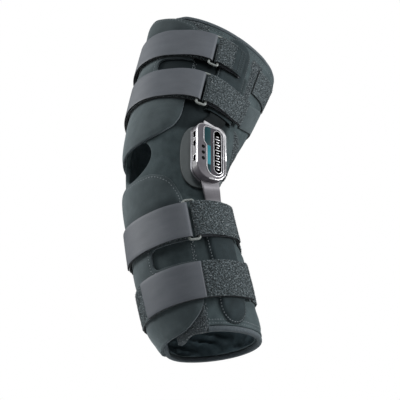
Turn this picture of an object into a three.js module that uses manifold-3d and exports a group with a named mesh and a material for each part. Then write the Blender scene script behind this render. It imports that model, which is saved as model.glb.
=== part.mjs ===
// A hinged wraparound knee support, standing as it is worn on a slightly bent leg.
// Units are millimetres and degrees. +Z is up, -Y is the front of the knee, +X the outer side of the leg.
// The origin is the middle of the knee, between the two hinges.
// A place on the support is given by its turn round the leg (0 front, 90 outer side, 180 back),
// its distance along the leg from the knee (up is positive) and its lift above the sleeve's outer face.
import * as THREE from "three";
import { mergeVertices } from "three/addons/utils/BufferGeometryUtils.js";
import Module from "manifold-3d";

const wasm = await Module();
wasm.setup();
const { clamp, degToRad, lerp, smoothstep } = THREE.MathUtils;

// The leg that fills the support: its lean above and below the knee, and its half widths.
const THIGH_LEAN = degToRad(15);
const CALF_LEAN = degToRad(12);
const BEND_REACH = 35;
const SECTIONS = [
  { along: -190, side: 51, front: 48, back: 63 },
  { along: -130, side: 56, front: 55, back: 60 },
  { along: -85, side: 57, front: 56, back: 51.5 },
  { along: -40, side: 57, front: 56, back: 48.5 },
  { along: 0, side: 58, front: 55, back: 52 },
  { along: 40, side: 60, front: 61, back: 54.5 },
  { along: 85, side: 60.5, front: 66.5, back: 65.5 },
  { along: 130, side: 60, front: 71, back: 74 },
  { along: 190, side: 58, front: 76, back: 84 },
];
// The calf's lower end is drawn in at the front of the inner side, where its flap begins.
const DRAWN_IN = { depth: 8.5, turn: -28, from: 160, to: 192 };

// The sleeve, its rims and its two cut-outs.
const GAP = 0.3;
const WALL = 4;
const TOP = 190;
const BOTTOM = -189;
const TOP_DIP = 7;
const BOTTOM_TILT = 3;
const TRIM_START = 120;
const BINDING = 5;
const BINDING_PROUD = 0.6;
const SLEEVE_COLUMNS = 36;
const SLEEVE_STEP = 24;
const FINE_STEP = 6;
const CUT_LIFT = 8;
const DEEP_CUT = 16;
const KNEECAP_HOLE = { along: 4, halfHeight: 17, halfTurn: 28, tipTilt: 84, columns: 7, rows: 9 };
const KNEE_BACK_COLUMNS = 15;
const KNEE_BACK_OPENING = [
  { along: -57, edge: 150 },
  { along: -53, edge: 112 },
  { along: -40, edge: 105 },
  { along: -10, edge: 107 },
  { along: 5, edge: 113 },
  { along: 13, edge: 127 },
  { along: 18, edge: 150 },
];

// The wrap-over panels: how far round the front the free edge reaches.
const FLAP_SEAM = -58;
const FLAP_LIFT = 0.65;
const FLAP_THICK = 2.9;
const FLAP_LIMIT = 62;
const FLAP_COLUMNS = 13;
const WASTE_COLUMNS = 9;
const ROW_STEP = 20;
const THIGH_FLAP = [
  { along: 14.5, reach: 10 },
  { along: 17.3, reach: 29 },
  { along: 20.5, reach: 39.5 },
  { along: 28, reach: 51.5 },
  { along: 39, reach: 56.5 },
  { along: 60, reach: 57.5 },
  { along: 99, reach: 57 },
  { along: 101, reach: 22 },
  { along: 117, reach: 25 },
  { along: 121, reach: 56 },
  { along: 160, reach: 56 },
  { along: 172, reach: 53 },
  { along: 180, reach: 46 },
  { along: 182, reach: 34 },
  { along: 185, reach: 17 },
  { along: 190, reach: 1 },
  { along: 192, reach: -14 },
];
const CALF_FLAP = [
  { along: -188.3, reach: -12 },
  { along: -187.7, reach: 16 },
  { along: -184.2, reach: 35 },
  { along: -178, reach: 46 },
  { along: -169.5, reach: 55 },
  { along: -158, reach: 61 },
  { along: -117, reach: 60 },
  { along: -113, reach: 17 },
  { along: -94, reach: 14 },
  { along: -91, reach: 60 },
  { along: -47, reach: 59 },
  { along: -38, reach: 57 },
  { along: -28, reach: 52 },
  { along: -21, reach: 44 },
  { along: -16, reach: 28 },
];

// The straps. Each starts sewn behind the leg, passes round the inner side and the front, turns
// round its ring at "end" and lies back over itself to "free". Its anchor tab runs on to "anchor".
// Behind the leg it is higher by its "rise", which sets in faster with a higher power.
const STRAP_WIDTH = 38;
const STRAP_THICK = 1.6;
const STRAP_GAP = 0.4;
const STRAP_STEP = 10;
const STRAP_ROWS = 3;
const FOLD_STEPS = 6;
const SETTLE = 40;
const RISE_POWER = 3;
const STRAPS = [
  {
    name: "thigh", level: "upper", along: 139, end: 73,
    free: -60, anchor: 100, rise: 24, start: -238, ring: true,
  },
  {
    name: "thigh", level: "lower", along: 80, end: 71,
    free: -60, anchor: 120, rise: 42, start: -236, ring: true,
  },
  {
    name: "calf", level: "upper", along: -73, end: 62,
    free: -36, anchor: 124, rise: -6, start: -233, ring: true,
  },
  {
    name: "calf", level: "lower", along: -137, end: 65,
    free: -4, anchor: 124, rise: 5, start: -233, ring: false,
  },
];
// What a strap lies on, from its start round to its ring: the sleeve, the inner pockets, a flap.
const STRAP_BED = [
  { turn: -250, lift: 0.4 },
  { turn: -134, lift: 0.4 },
  { turn: -120, lift: 4.4 },
  { turn: -66, lift: 4.4 },
  { turn: -56, lift: 3.9 },
  { turn: 46, lift: 3.9 },
  { turn: 58, lift: 4.4 },
  { turn: 90, lift: 4.4 },
];
const ANCHOR_BED = [
  { turn: 60, lift: 4.4 },
  { turn: 116, lift: 4.4 },
  { turn: 124, lift: 1.4 },
];

// The rings: closed wire rectangles, with one long bar for the strap and one for the anchor.
const RING_WIRE = 1.6;
const RING_SPAN = 9.5;
const RING_SIDE_ROOM = 1.6;
const RING_CORNER = 2.4;
const RING_SIDES = 6;

// The uprights and the cloth pockets that hold them.
const BAR_WIDTH = 20.8;
const BAR_THICK = 2;
const BAR_LIFT = 0.5;
const BAR_BACK = 4;
const BAR_SETTLE_FROM = 39;
const BAR_SETTLE_TO = 53;
const BAR_STATIONS = [39, 43, 46, 49, 53, 75, 100, 125, 155];
const BAR_COLUMNS = 3;
const BAR_END_WIDTH = 0.55;
const UPRIGHTS = [
  { level: "upper", way: 1, from: 8, to: 160 },
  { level: "lower", way: -1, from: 18, to: 160 },
];
const POCKET_TURN = 95;
const POCKET_HALF = 18;
const POCKET_ROOM = 13;
const POCKET_UNDER = 3.35;
const POCKET_THICK = 0.7;
const POCKET_COLUMNS = 7;
const POCKET_STATIONS = [0, 0.2, 0.4, 0.6, 0.8, 0.88, 0.95, 1];
const POCKET_TIP = { length: 20, blunt: 0.02, closed: 0.5 };
const POCKETS = [
  { level: "upper", mouth: 57, tip: 178 },
  { level: "lower", mouth: -62, tip: -182 },
];

// The hinges: a pad on the sleeve, a bright plate, and a cover that is hollow behind its face.
const HINGE_DROP = -1.5;
const HINGE_FORWARD = -2.7;
const PAD = { halfWidth: 26, halfHeight: 35, lift: 0.7, thick: 4.1, edgeDrop: 2, along: -2, back: 1.5 };
const PAD_COLUMNS = 6;
const PAD_ROWS = 9;
const PAD_TIP = 0.985;
const PLATE = { face: 63.2, thick: 2, halfWidth: 18.7, halfHeight: 33.4, topRound: 9, bottomRound: 15 };
const BAR_FACE = PLATE.face + PLATE.thick + GAP;
const COVER = { back: BAR_FACE, depth: 9.5, wall: 2.5, faceThick: 2.6, recess: 1.2, rim: 4 };
const COVER_OUTLINE = { halfWidth: 18.2, halfHeight: 32.6, topRound: 9, bottomRound: 15 };
const COVER_SLOTS = [18, 7, -12];
const SLOT_HEIGHT = 7;
const SLOT_DEPTH = 3.4;
const NOTCH_FRONT = -8.5;
const NOTCH_BACK = 15;
const NOTCH_DEPTH = 2.8;
const ROUND_STEPS = 3;

// Finishes.
const finish = (color, roughness, metalness = 0) =>
  new THREE.MeshStandardMaterial({ color, roughness, metalness });
const NEOPRENE = finish(0x343b40, 0.9);
const FLAP_CLOTH = finish(0x444a52, 0.85);
const TAPE = finish(0x474d53, 0.8);
const WEBBING = finish(0x5c6168, 0.75);
const PILE = finish(0x3a4044, 1.0);
const RING_PLASTIC = finish(0xa0a5a3, 0.45);
const PAD_RUBBER = finish(0x3d4647, 0.7);
const BRIGHT_STEEL = finish(0xc8c8cc, 0.2, 1.0);
const BAR_METAL = finish(0x848488, 0.45, 0.8);
const COVER_PLASTIC = finish(0x6b6870, 0.4);
const INLAY = finish(0x2c2f33, 0.5);

// A smooth curve through one column of a table whose first column is "along".
function curveThrough(rows, name) {
  const last = rows.length - 1;
  const slopes = rows.map((row, i) => {
    const before = rows[Math.max(i - 1, 0)];
    const after = rows[Math.min(i + 1, last)];
    return (after[name] - before[name]) / (after.along - before.along);
  });
  return (along) => {
    let i = rows.findIndex((row) => row.along > along) - 1;
    if (i < 0) i = along < rows[0].along ? 0 : last - 1;
    const width = rows[i + 1].along - rows[i].along;
    const t = (along - rows[i].along) / width;
    const rise = t * t * (3 - 2 * t);
    const leaving = t * (1 - t) * (1 - t) * width * slopes[i];
    const arriving = t * t * (t - 1) * width * slopes[i + 1];
    return lerp(rows[i][name], rows[i + 1][name], rise) + leaving + arriving;
  };
}

// A straight-line look-up in a table.
function lookUp(rows, key, name, value) {
  const i = clamp(rows.findIndex((row) => row[key] > value) - 1, -2, rows.length - 2);
  if (i === -2) return rows[rows.length - 1][name];
  if (i < 0) return rows[0][name];
  const t = (value - rows[i][key]) / (rows[i + 1][key] - rows[i][key]);
  return lerp(rows[i][name], rows[i + 1][name], t);
}

const legSide = curveThrough(SECTIONS, "side");
const legFront = curveThrough(SECTIONS, "front");
const legBack = curveThrough(SECTIONS, "back");

// The leg's middle line: an arc at the knee between two straight, leaning lengths.
const BEND_RATE = (THIGH_LEAN + CALF_LEAN) / (2 * BEND_REACH);
const LEAN_AT_KNEE = (THIGH_LEAN - CALF_LEAN) / 2;
function middleLine(along) {
  const bent = clamp(along, -BEND_REACH, BEND_REACH);
  const lean = LEAN_AT_KNEE + BEND_RATE * bent;
  const straight = along - bent;
  return {
    lean,
    y: (Math.cos(LEAN_AT_KNEE) - Math.cos(lean)) / BEND_RATE + straight * Math.sin(lean),
    z: (Math.sin(lean) - Math.sin(LEAN_AT_KNEE)) / BEND_RATE + straight * Math.cos(lean),
  };
}

function drawnIn(turn, along) {
  const { depth, turn: deepest, from, to } = DRAWN_IN;
  const near = Math.max(0, Math.cos(degToRad(turn - deepest)));
  return depth * near * near * smoothstep(-along, from, to);
}

// The point at a turn round the leg, a distance along it and a lift above the sleeve.
function onLeg(turn, along, lift) {
  const { lean, y, z } = middleLine(along);
  const sine = Math.sin(degToRad(turn));
  const cosine = Math.cos(degToRad(turn));
  const depth = cosine > 0 ? legFront(along) : legBack(along);
  const out = lift - drawnIn(turn, along);
  const forward = (depth + out) * cosine;
  const x = (legSide(along) + out) * sine;
  return [x, y - forward * Math.cos(lean), z + forward * Math.sin(lean)];
}

// Millimetres round the leg for each degree of turn, at one place.
function millimetresPerDegree(turn, along) {
  const a = new THREE.Vector3(...onLeg(turn - 0.5, along, 0));
  return a.distanceTo(new THREE.Vector3(...onLeg(turn + 0.5, along, 0)));
}

// The rims aren't level: the top dips at the sides and the bottom tilts.
function trimmed(along, turn) {
  const sine = Math.sin(degToRad(turn));
  const dip = TOP_DIP * sine * sine * smoothstep(along, TRIM_START, TOP);
  const tilt = BOTTOM_TILT * Math.cos(degToRad(turn)) * smoothstep(-along, TRIM_START, -BOTTOM);
  return along - dip + tilt;
}

// A closed wall over a grid of columns and rows. place(i, j, face) gives a corner, with face 0 the
// inner skin and 1 the outer skin. A ring joins its last column to its first.
function wall(columns, rows, place, ring = false) {
  const positions = [];
  const index = [];
  const at = (i, j, face) => (face * rows + j) * columns + (i % columns);
  const quad = (a, b, c, d) => index.push(a, b, c, a, c, d);
  for (const face of [0, 1]) {
    for (let j = 0; j < rows; j++) {
      for (let i = 0; i < columns; i++) positions.push(...place(i, j, face));
    }
  }
  const spans = ring ? columns : columns - 1;
  const top = rows - 1;
  for (let i = 0; i < spans; i++) {
    for (let j = 0; j < top; j++) {
      quad(at(i, j, 1), at(i + 1, j, 1), at(i + 1, j + 1, 1), at(i, j + 1, 1));
      quad(at(i, j, 0), at(i, j + 1, 0), at(i + 1, j + 1, 0), at(i + 1, j, 0));
    }
    quad(at(i, 0, 0), at(i + 1, 0, 0), at(i + 1, 0, 1), at(i, 0, 1));
    quad(at(i, top, 0), at(i, top, 1), at(i + 1, top, 1), at(i + 1, top, 0));
  }
  for (let j = 0; j < top && !ring; j++) {
    const end = columns - 1;
    quad(at(0, j, 0), at(0, j, 1), at(0, j + 1, 1), at(0, j + 1, 0));
    quad(at(end, j, 0), at(end, j + 1, 0), at(end, j + 1, 1), at(end, j, 1));
  }
  return closed(positions, index);
}

// A geometry from corners and triangles, turned right side out.
function closed(positions, index) {
  const corner = (k) => new THREE.Vector3().fromArray(positions, 3 * k);
  let volume = 0;
  for (let k = 0; k < index.length; k += 3) {
    const b = corner(index[k + 1]);
    volume += corner(index[k]).dot(b.cross(corner(index[k + 2])));
  }
  if (volume < 0) index.reverse();
  const geometry = new THREE.BufferGeometry();
  geometry.setAttribute("position", new THREE.Float32BufferAttribute(positions, 3));
  geometry.setIndex(index);
  return geometry;
}

// Cutting with manifold-3d.
function solidOf(geometry) {
  const bare = geometry.clone();
  bare.deleteAttribute("normal");
  bare.deleteAttribute("uv");
  const merged = mergeVertices(bare, 1e-4);
  const vertProperties = new Float32Array(merged.attributes.position.array);
  const triVerts = new Uint32Array(merged.index.array);
  return new wasm.Manifold(new wasm.Mesh({ numProp: 3, vertProperties, triVerts }));
}

function cut(geometry, tools) {
  const solid = tools.reduce((rest, tool) => rest.subtract(solidOf(tool)), solidOf(geometry));
  const mesh = solid.getMesh();
  const made = new THREE.BufferGeometry();
  made.setAttribute("position", new THREE.Float32BufferAttribute(mesh.vertProperties, 3));
  made.setIndex(new THREE.Uint32BufferAttribute(mesh.triVerts, 1));
  return made;
}

// The rows of a table with more put between, so that no step along the leg is longer than given.
function closeRows(rows, name, step) {
  const dense = [];
  rows.slice(1).forEach((row, i) => {
    const from = rows[i];
    const parts = Math.ceil((row.along - from.along) / step);
    for (let k = 0; k < parts; k++) {
      const t = k / parts;
      dense.push({ along: lerp(from.along, row.along, t), [name]: lerp(from[name], row[name], t) });
    }
  });
  return [...dense, rows[rows.length - 1]];
}

// Levels along the leg from low to high, closer together where the calf is drawn in.
function levelsBetween(low, high, step) {
  const levels = [];
  const room = FINE_STEP / 2;
  for (let along = low; along < high - room; along += along < -DRAWN_IN.from ? FINE_STEP : step) {
    levels.push(along);
  }
  return [...levels, high];
}

// The sleeve.
function sleeveTube() {
  const levels = levelsBetween(BOTTOM + BINDING + GAP, TOP - BINDING - GAP, SLEEVE_STEP);
  const place = (i, j, face) => {
    const turn = (360 * i) / SLEEVE_COLUMNS;
    return onLeg(turn, trimmed(levels[j], turn), face ? 0 : -WALL);
  };
  return wall(SLEEVE_COLUMNS, levels.length, place, true);
}

function kneecapPlug() {
  const { along, halfHeight, halfTurn, tipTilt, columns, rows } = KNEECAP_HOLE;
  const place = (i, j, face) => {
    const tilt = degToRad(lerp(-tipTilt, tipTilt, j / (rows - 1)));
    const turn = halfTurn * Math.cos(tilt) * lerp(-1, 1, i / (columns - 1));
    return onLeg(turn, along + halfHeight * Math.sin(tilt), face ? CUT_LIFT : -CUT_LIFT);
  };
  return wall(columns, rows, place);
}

function kneeBackPlug() {
  const rows = closeRows(KNEE_BACK_OPENING, "edge", ROW_STEP);
  const place = (i, j, face) => {
    const { along, edge } = rows[j];
    const turn = lerp(edge, 360 - edge, i / (KNEE_BACK_COLUMNS - 1));
    return onLeg(turn, along, face ? CUT_LIFT : -CUT_LIFT);
  };
  return wall(KNEE_BACK_COLUMNS, rows.length, place);
}

// The edge tape of a rim, between two distances along the leg.
function binding(low, high) {
  const place = (i, j, face) => {
    const turn = (360 * i) / SLEEVE_COLUMNS;
    return onLeg(turn, trimmed(j ? high : low, turn), face ? 0 : -WALL - BINDING_PROUD);
  };
  return wall(SLEEVE_COLUMNS, 2, place, true);
}

// A flap is a plain panel over the front, cut back to its free edge.
function flap(table) {
  const levels = levelsBetween(table[0].along, table[table.length - 1].along, ROW_STEP);
  const panel = wall(FLAP_COLUMNS, levels.length, (i, j, face) => {
    const turn = lerp(FLAP_SEAM, FLAP_LIMIT, i / (FLAP_COLUMNS - 1));
    return onLeg(turn, trimmed(levels[j], turn), FLAP_LIFT + (face ? FLAP_THICK : 0));
  });
  const past = (row, step) => ({ along: row.along + step, reach: row.reach });
  const edge = [past(table[0], -ROW_STEP), ...table, past(table[table.length - 1], ROW_STEP)];
  const waste = wall(WASTE_COLUMNS, edge.length, (i, j, face) => {
    const { along, reach } = edge[j];
    const turn = lerp(reach, FLAP_LIMIT + ROW_STEP, i / (WASTE_COLUMNS - 1));
    return onLeg(turn, trimmed(along, turn), face ? DEEP_CUT : -DEEP_CUT);
  });
  return cut(panel, [waste]);
}

// A band of webbing along a path of { turn, lift } stations, which may fold back over itself.
function band(path, { along, rise }, perDegree) {
  const half = STRAP_THICK / 2;
  const level = (turn) => along + rise * Math.max(0, -Math.cos(degToRad(turn))) ** RISE_POWER;
  const normals = path.map((station, i) => {
    const before = path[Math.max(i - 1, 0)];
    const after = path[Math.min(i + 1, path.length - 1)];
    const across = new THREE.Vector2((after.turn - before.turn) * perDegree, after.lift - before.lift);
    across.normalize();
    return { turn: -across.y / perDegree, lift: across.x };
  });
  const place = (i, j, face) => {
    const offset = face ? half : -half;
    const turn = path[i].turn + offset * normals[i].turn;
    const lift = path[i].lift + offset * normals[i].lift;
    return onLeg(turn, level(turn) + (j / (STRAP_ROWS - 1) - 0.5) * STRAP_WIDTH, lift);
  };
  return wall(path.length, STRAP_ROWS, place);
}

// Stations from one turn to another, at the lift that a function gives for each turn.
function run(from, to, liftAt) {
  const steps = Math.max(1, Math.ceil(Math.abs(to - from) / STRAP_STEP));
  return Array.from({ length: steps + 1 }, (_, k) => {
    const turn = lerp(from, to, k / steps);
    return { turn, lift: liftAt(turn) };
  });
}

// A half circle of stations from the lower run to the upper run; side is the way that it bulges.
function fold(turn, low, radius, perDegree, side) {
  return Array.from({ length: FOLD_STEPS - 1 }, (_, k) => {
    const angle = (Math.PI * (k + 1)) / FOLD_STEPS;
    const out = (side * radius * Math.sin(angle)) / perDegree;
    return { turn: turn + out, lift: low + radius * (1 - Math.cos(angle)) };
  });
}

// Where a strap's fold and ring lie.
function foldOf(strap) {
  const perDegree = millimetresPerDegree(strap.end, strap.along);
  const half = STRAP_THICK / 2;
  const radius = strap.ring ? RING_WIRE + STRAP_GAP + half : (STRAP_THICK + STRAP_GAP) / 2;
  const low = lookUp(ANCHOR_BED, "turn", "lift", strap.end) + half;
  const strapTurn = strap.end - (radius + half) / perDegree;
  const span = strap.ring ? RING_SPAN : 2 * (radius + half) + STRAP_GAP;
  return { perDegree, radius, low, strapTurn, anchorTurn: strapTurn + span / perDegree };
}

// The upper run comes down from the fold and settles on the lower run.
function upperLift(bed, turn, foldTurn, { low, radius, perDegree }) {
  const settled = lookUp(bed, "turn", "lift", turn) + STRAP_THICK * 1.5 + STRAP_GAP;
  const away = Math.abs(turn - foldTurn) * perDegree;
  return lerp(low + 2 * radius, settled, smoothstep(away, 0, SETTLE));
}

function strapBand(strap) {
  const at = foldOf(strap);
  const lower = (turn) => lookUp(STRAP_BED, "turn", "lift", turn) + STRAP_THICK / 2;
  const upper = (turn) => upperLift(STRAP_BED, turn, at.strapTurn, at);
  const path = [
    ...run(strap.start, at.strapTurn, lower),
    ...fold(at.strapTurn, at.low, at.radius, at.perDegree, 1),
    ...run(at.strapTurn, strap.free, upper),
  ];
  return band(path, strap, at.perDegree);
}

function anchorBand(strap) {
  const at = foldOf(strap);
  const lower = (turn) => lookUp(ANCHOR_BED, "turn", "lift", turn) + STRAP_THICK / 2;
  const upper = (turn) => upperLift(ANCHOR_BED, turn, at.anchorTurn, at);
  const path = [
    ...run(strap.anchor, at.anchorTurn, lower),
    ...fold(at.anchorTurn, at.low, at.radius, at.perDegree, -1),
    ...run(at.anchorTurn, strap.anchor, upper),
  ];
  return band(path, strap, at.perDegree);
}

// A ring: wire bent to a rounded rectangle that lies between the strap and its anchor.
function strapRing(strap) {
  const { perDegree, radius, low, strapTurn } = foldOf(strap);
  const halfSpan = RING_SPAN / 2;
  const halfLength = STRAP_WIDTH / 2 + RING_SIDE_ROOM + RING_WIRE;
  const middle = strapTurn + halfSpan / perDegree;
  const wire = [];
  for (let quarter = 0; quarter < 4; quarter++) {
    const flipX = quarter === 1 || quarter === 2 ? -1 : 1;
    const flipY = quarter > 1 ? -1 : 1;
    for (let k = 0; k < 3; k++) {
      const angle = ((quarter + k / 2) * Math.PI) / 2;
      wire.push({
        x: flipX * (halfSpan - RING_CORNER) + RING_CORNER * Math.cos(angle),
        y: flipY * (halfLength - RING_CORNER) + RING_CORNER * Math.sin(angle),
        out: angle,
      });
    }
  }
  const positions = [];
  const index = [];
  wire.forEach(({ x, y, out }, i) => {
    for (let k = 0; k < RING_SIDES; k++) {
      const angle = (2 * Math.PI * k) / RING_SIDES;
      const spread = RING_WIRE * Math.cos(angle);
      const turn = middle + (x + spread * Math.cos(out)) / perDegree;
      const along = strap.along + y + spread * Math.sin(out);
      positions.push(...onLeg(turn, along, low + radius + RING_WIRE * Math.sin(angle)));
      const next = ((i + 1) % wire.length) * RING_SIDES;
      const here = i * RING_SIDES;
      const beside = (k + 1) % RING_SIDES;
      index.push(here + k, next + k, next + beside, here + k, next + beside, here + beside);
    }
  });
  return closed(positions, index);
}

// An upright: a flat bar at its hinge, which comes down to lie along the sleeve and follow it.
function upright({ way, from, to }, side) {
  const distances = [from, ...BAR_STATIONS, to];
  const place = (i, j, face) => {
    const along = way * distances[j];
    const tapered = j === 0 || j === distances.length - 1 ? BAR_END_WIDTH : 1;
    const across = BAR_WIDTH * tapered * (i / (BAR_COLUMNS - 1) - 0.5);
    const thick = face ? BAR_THICK : 0;
    const { lean, y, z } = middleLine(along);
    const hingeY = y + HINGE_FORWARD + across * Math.cos(lean);
    const atHinge = [BAR_FACE + thick, hingeY, z - across * Math.sin(lean)];
    const turn = 90 + (across + BAR_BACK) / millimetresPerDegree(90, along);
    const onSleeve = onLeg(turn, along, BAR_LIFT + thick);
    const settled = smoothstep(distances[j], BAR_SETTLE_FROM, BAR_SETTLE_TO);
    const [px, py, pz] = atHinge.map((value, axis) => lerp(value, onSleeve[axis], settled));
    return [side * px, py, pz];
  };
  return wall(BAR_COLUMNS, distances.length, place);
}

// A pocket: cloth sewn down along both edges that arches over its upright and closes at a round tip.
function pocket({ mouth, tip }, side) {
  const { length, blunt, closed: closedBy } = POCKET_TIP;
  const place = (i, j, face) => {
    const along = lerp(mouth, tip, POCKET_STATIONS[j]);
    const fromTip = clamp(Math.abs(tip - along) / length, blunt, 1);
    const half = POCKET_HALF * Math.sqrt(1 - (1 - fromTip) ** 2);
    const across = half * lerp(-1, 1, i / (POCKET_COLUMNS - 1));
    const flank = smoothstep(Math.abs(across), POCKET_ROOM, POCKET_HALF);
    const closing = smoothstep(fromTip, blunt, closedBy);
    const under = lerp(GAP, POCKET_UNDER, (1 - flank) * closing);
    const turn = POCKET_TURN + across / millimetresPerDegree(POCKET_TURN, along);
    const [x, y, z] = onLeg(turn, along, under + (face ? POCKET_THICK : 0));
    return [side * x, y, z];
  };
  return wall(POCKET_COLUMNS, POCKET_STATIONS.length, place);
}

// The moulded pad under a hinge follows the leg and thins towards its edge.
function hingePad(side) {
  const perDegree = millimetresPerDegree(90, PAD.along);
  const place = (i, j, face) => {
    const height = lerp(-PAD_TIP, PAD_TIP, j / (PAD_ROWS - 1));
    const width = Math.cbrt(1 - Math.abs(height) ** 3) * lerp(-1, 1, i / (PAD_COLUMNS - 1));
    const edge = Math.max(Math.abs(height), Math.abs(width)) ** 4;
    const lift = PAD.lift + (face ? PAD.thick - PAD.edgeDrop * edge : 0);
    const turn = 90 + (HINGE_FORWARD + PAD.back + PAD.halfWidth * width) / perDegree;
    const [x, y, z] = onLeg(turn, PAD.along + PAD.halfHeight * height, lift);
    return [side * Math.min(x, PLATE.face - 2 * GAP), y, z];
  };
  return wall(PAD_COLUMNS, PAD_ROWS, place);
}

// The hinge outline: a tall rounded rectangle, rounder at the bottom, drawn smaller by an inset.
function hingeOutline({ halfWidth, halfHeight, topRound, bottomRound }, inset = 0) {
  const x = halfWidth - inset;
  const y = halfHeight - inset;
  const top = Math.max(topRound - inset, 1);
  const bottom = Math.max(bottomRound - inset, 1);
  const shape = new THREE.Shape();
  shape.moveTo(x, bottom - y);
  shape.lineTo(x, y - top);
  shape.absarc(x - top, y - top, top, 0, Math.PI / 2);
  shape.lineTo(top - x, y);
  shape.absarc(top - x, y - top, top, Math.PI / 2, Math.PI);
  shape.lineTo(-x, bottom - y);
  shape.absarc(bottom - x, bottom - y, bottom, Math.PI, 1.5 * Math.PI);
  shape.lineTo(x - bottom, -y);
  shape.absarc(x - bottom, bottom - y, bottom, 1.5 * Math.PI, 2 * Math.PI);
  return shape;
}

function slab(shape, from, depth) {
  const options = { depth, bevelEnabled: false, curveSegments: ROUND_STEPS };
  return new THREE.ExtrudeGeometry(shape, options).translate(0, 0, from);
}

function block(width, height, depth, x, y, z) {
  return new THREE.BoxGeometry(width, height, depth).translate(x, y, z);
}

// The cover: hollow behind its face, with a recess in the face, slots in both long walls and a
// notch at each end for the uprights. Its drawing's X runs from the front to the back of the leg.
function hingeCover(side) {
  const { depth, wall: thick, faceThick, recess, rim } = COVER;
  const { halfWidth, halfHeight } = COVER_OUTLINE;
  const hollow = slab(hingeOutline(COVER_OUTLINE, thick), -1, depth - faceThick + 1);
  const dent = slab(hingeOutline(COVER_OUTLINE, rim), depth - recess, recess + 1);
  const notchWidth = NOTCH_BACK - NOTCH_FRONT;
  const notchMiddle = (side * (NOTCH_BACK + NOTCH_FRONT)) / 2;
  const notch = block(notchWidth, 3 * halfHeight, 2 * NOTCH_DEPTH, notchMiddle, 0, 0);
  const slotAt = depth - faceThick - SLOT_DEPTH / 2 - 1;
  const slots = COVER_SLOTS.map((height) =>
    block(3 * halfWidth, SLOT_HEIGHT, SLOT_DEPTH, 0, height - HINGE_DROP, slotAt),
  );
  return cut(slab(hingeOutline(COVER_OUTLINE), 0, depth), [hollow, dent, notch, ...slots]);
}

// The assembly.
const support = new THREE.Group();
function add(group, name, geometry, material) {
  const mesh = new THREE.Mesh(geometry, material);
  mesh.name = name;
  group.add(mesh);
}

add(support, "sleeve", cut(sleeveTube(), [kneecapPlug(), kneeBackPlug()]), NEOPRENE);
add(support, "top_binding", binding(TOP - BINDING, TOP), TAPE);
add(support, "bottom_binding", binding(BOTTOM, BOTTOM + BINDING), TAPE);
add(support, "thigh_flap", flap(THIGH_FLAP), FLAP_CLOTH);
add(support, "calf_flap", flap(CALF_FLAP), FLAP_CLOTH);

for (const strap of STRAPS) {
  add(support, `${strap.name}_strap_${strap.level}`, strapBand(strap), WEBBING);
  add(support, `${strap.name}_anchor_${strap.level}`, anchorBand(strap), PILE);
  if (strap.ring) add(support, `${strap.name}_ring_${strap.level}`, strapRing(strap), RING_PLASTIC);
}

for (const [place, side] of [["outer", 1], ["inner", -1]]) {
  add(support, `hinge_pad_${place}`, hingePad(side), PAD_RUBBER);
  for (const bar of UPRIGHTS) {
    add(support, `upright_${bar.level}_${place}`, upright(bar, side), BAR_METAL);
  }
  for (const cloth of POCKETS) {
    add(support, `pocket_${cloth.level}_${place}`, pocket(cloth, side), NEOPRENE);
  }
  const hinge = new THREE.Group();
  hinge.position.set(0, HINGE_FORWARD, HINGE_DROP);
  const acrossLeg = new THREE.Vector3(0, side, 0);
  const upLeg = new THREE.Vector3(0, 0, 1);
  const outOfLeg = new THREE.Vector3(side, 0, 0);
  hinge.quaternion.setFromRotationMatrix(new THREE.Matrix4().makeBasis(acrossLeg, upLeg, outOfLeg));
  const plate = slab(hingeOutline(PLATE), PLATE.face, PLATE.thick);
  add(hinge, `hinge_plate_${place}`, plate, BRIGHT_STEEL);
  add(hinge, `hinge_cover_${place}`, hingeCover(side).translate(0, 0, COVER.back), COVER_PLASTIC);
  const inlayFrom = COVER.back + COVER.depth - COVER.recess + GAP;
  const inlay = slab(hingeOutline(COVER_OUTLINE, COVER.rim + GAP), inlayFrom, COVER.recess - GAP);
  add(hinge, `hinge_inlay_${place}`, inlay, INLAY);
  support.add(hinge);
}

export default support;
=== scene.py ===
# %% [markdown]
# # A hinged knee support
# A knee support is a padded wrap that is worn round a slightly bent knee. Straps pull it tight, and a
# hinge on each side stops the knee from bending the wrong way.
# In this lesson every soft piece starts as a flat cut pattern, as in a sewing room, and is then wrapped
# round the leg by one function. The hard pieces are modelled from rounded outlines.

# %% Load the frame
import math

import bmesh
import bpy
import numpy as np
from mathutils import Matrix, Vector, noise


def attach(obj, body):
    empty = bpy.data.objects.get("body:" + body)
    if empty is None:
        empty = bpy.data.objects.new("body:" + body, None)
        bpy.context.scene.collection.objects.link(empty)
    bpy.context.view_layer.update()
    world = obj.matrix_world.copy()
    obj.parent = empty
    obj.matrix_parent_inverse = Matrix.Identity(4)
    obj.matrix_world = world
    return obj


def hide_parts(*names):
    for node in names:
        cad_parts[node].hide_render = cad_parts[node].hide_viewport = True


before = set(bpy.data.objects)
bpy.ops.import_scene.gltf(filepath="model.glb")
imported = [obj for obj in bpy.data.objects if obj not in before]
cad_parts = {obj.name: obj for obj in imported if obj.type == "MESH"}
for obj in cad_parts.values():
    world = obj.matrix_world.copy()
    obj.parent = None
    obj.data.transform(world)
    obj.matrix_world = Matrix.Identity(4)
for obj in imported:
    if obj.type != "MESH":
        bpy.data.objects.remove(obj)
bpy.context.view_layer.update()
MM = 0.001
BODY = "root"
print("nodes in the frame:", len(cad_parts))

# %% [markdown]
# ## The leg inside
# The support has the shape of the leg that fills it. A table gives the half widths of the leg at a few
# heights, and its middle line is an arc at the knee between two straight, leaning lengths. The calf's lower
# end is drawn in at the front of the inner side.
# A place on the support is a turn round the leg in degrees (0 front, 90 outer side, 180 back), a distance
# along it in millimetres and a lift above the sleeve's outer face. One degree is about one millimetre.

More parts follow.
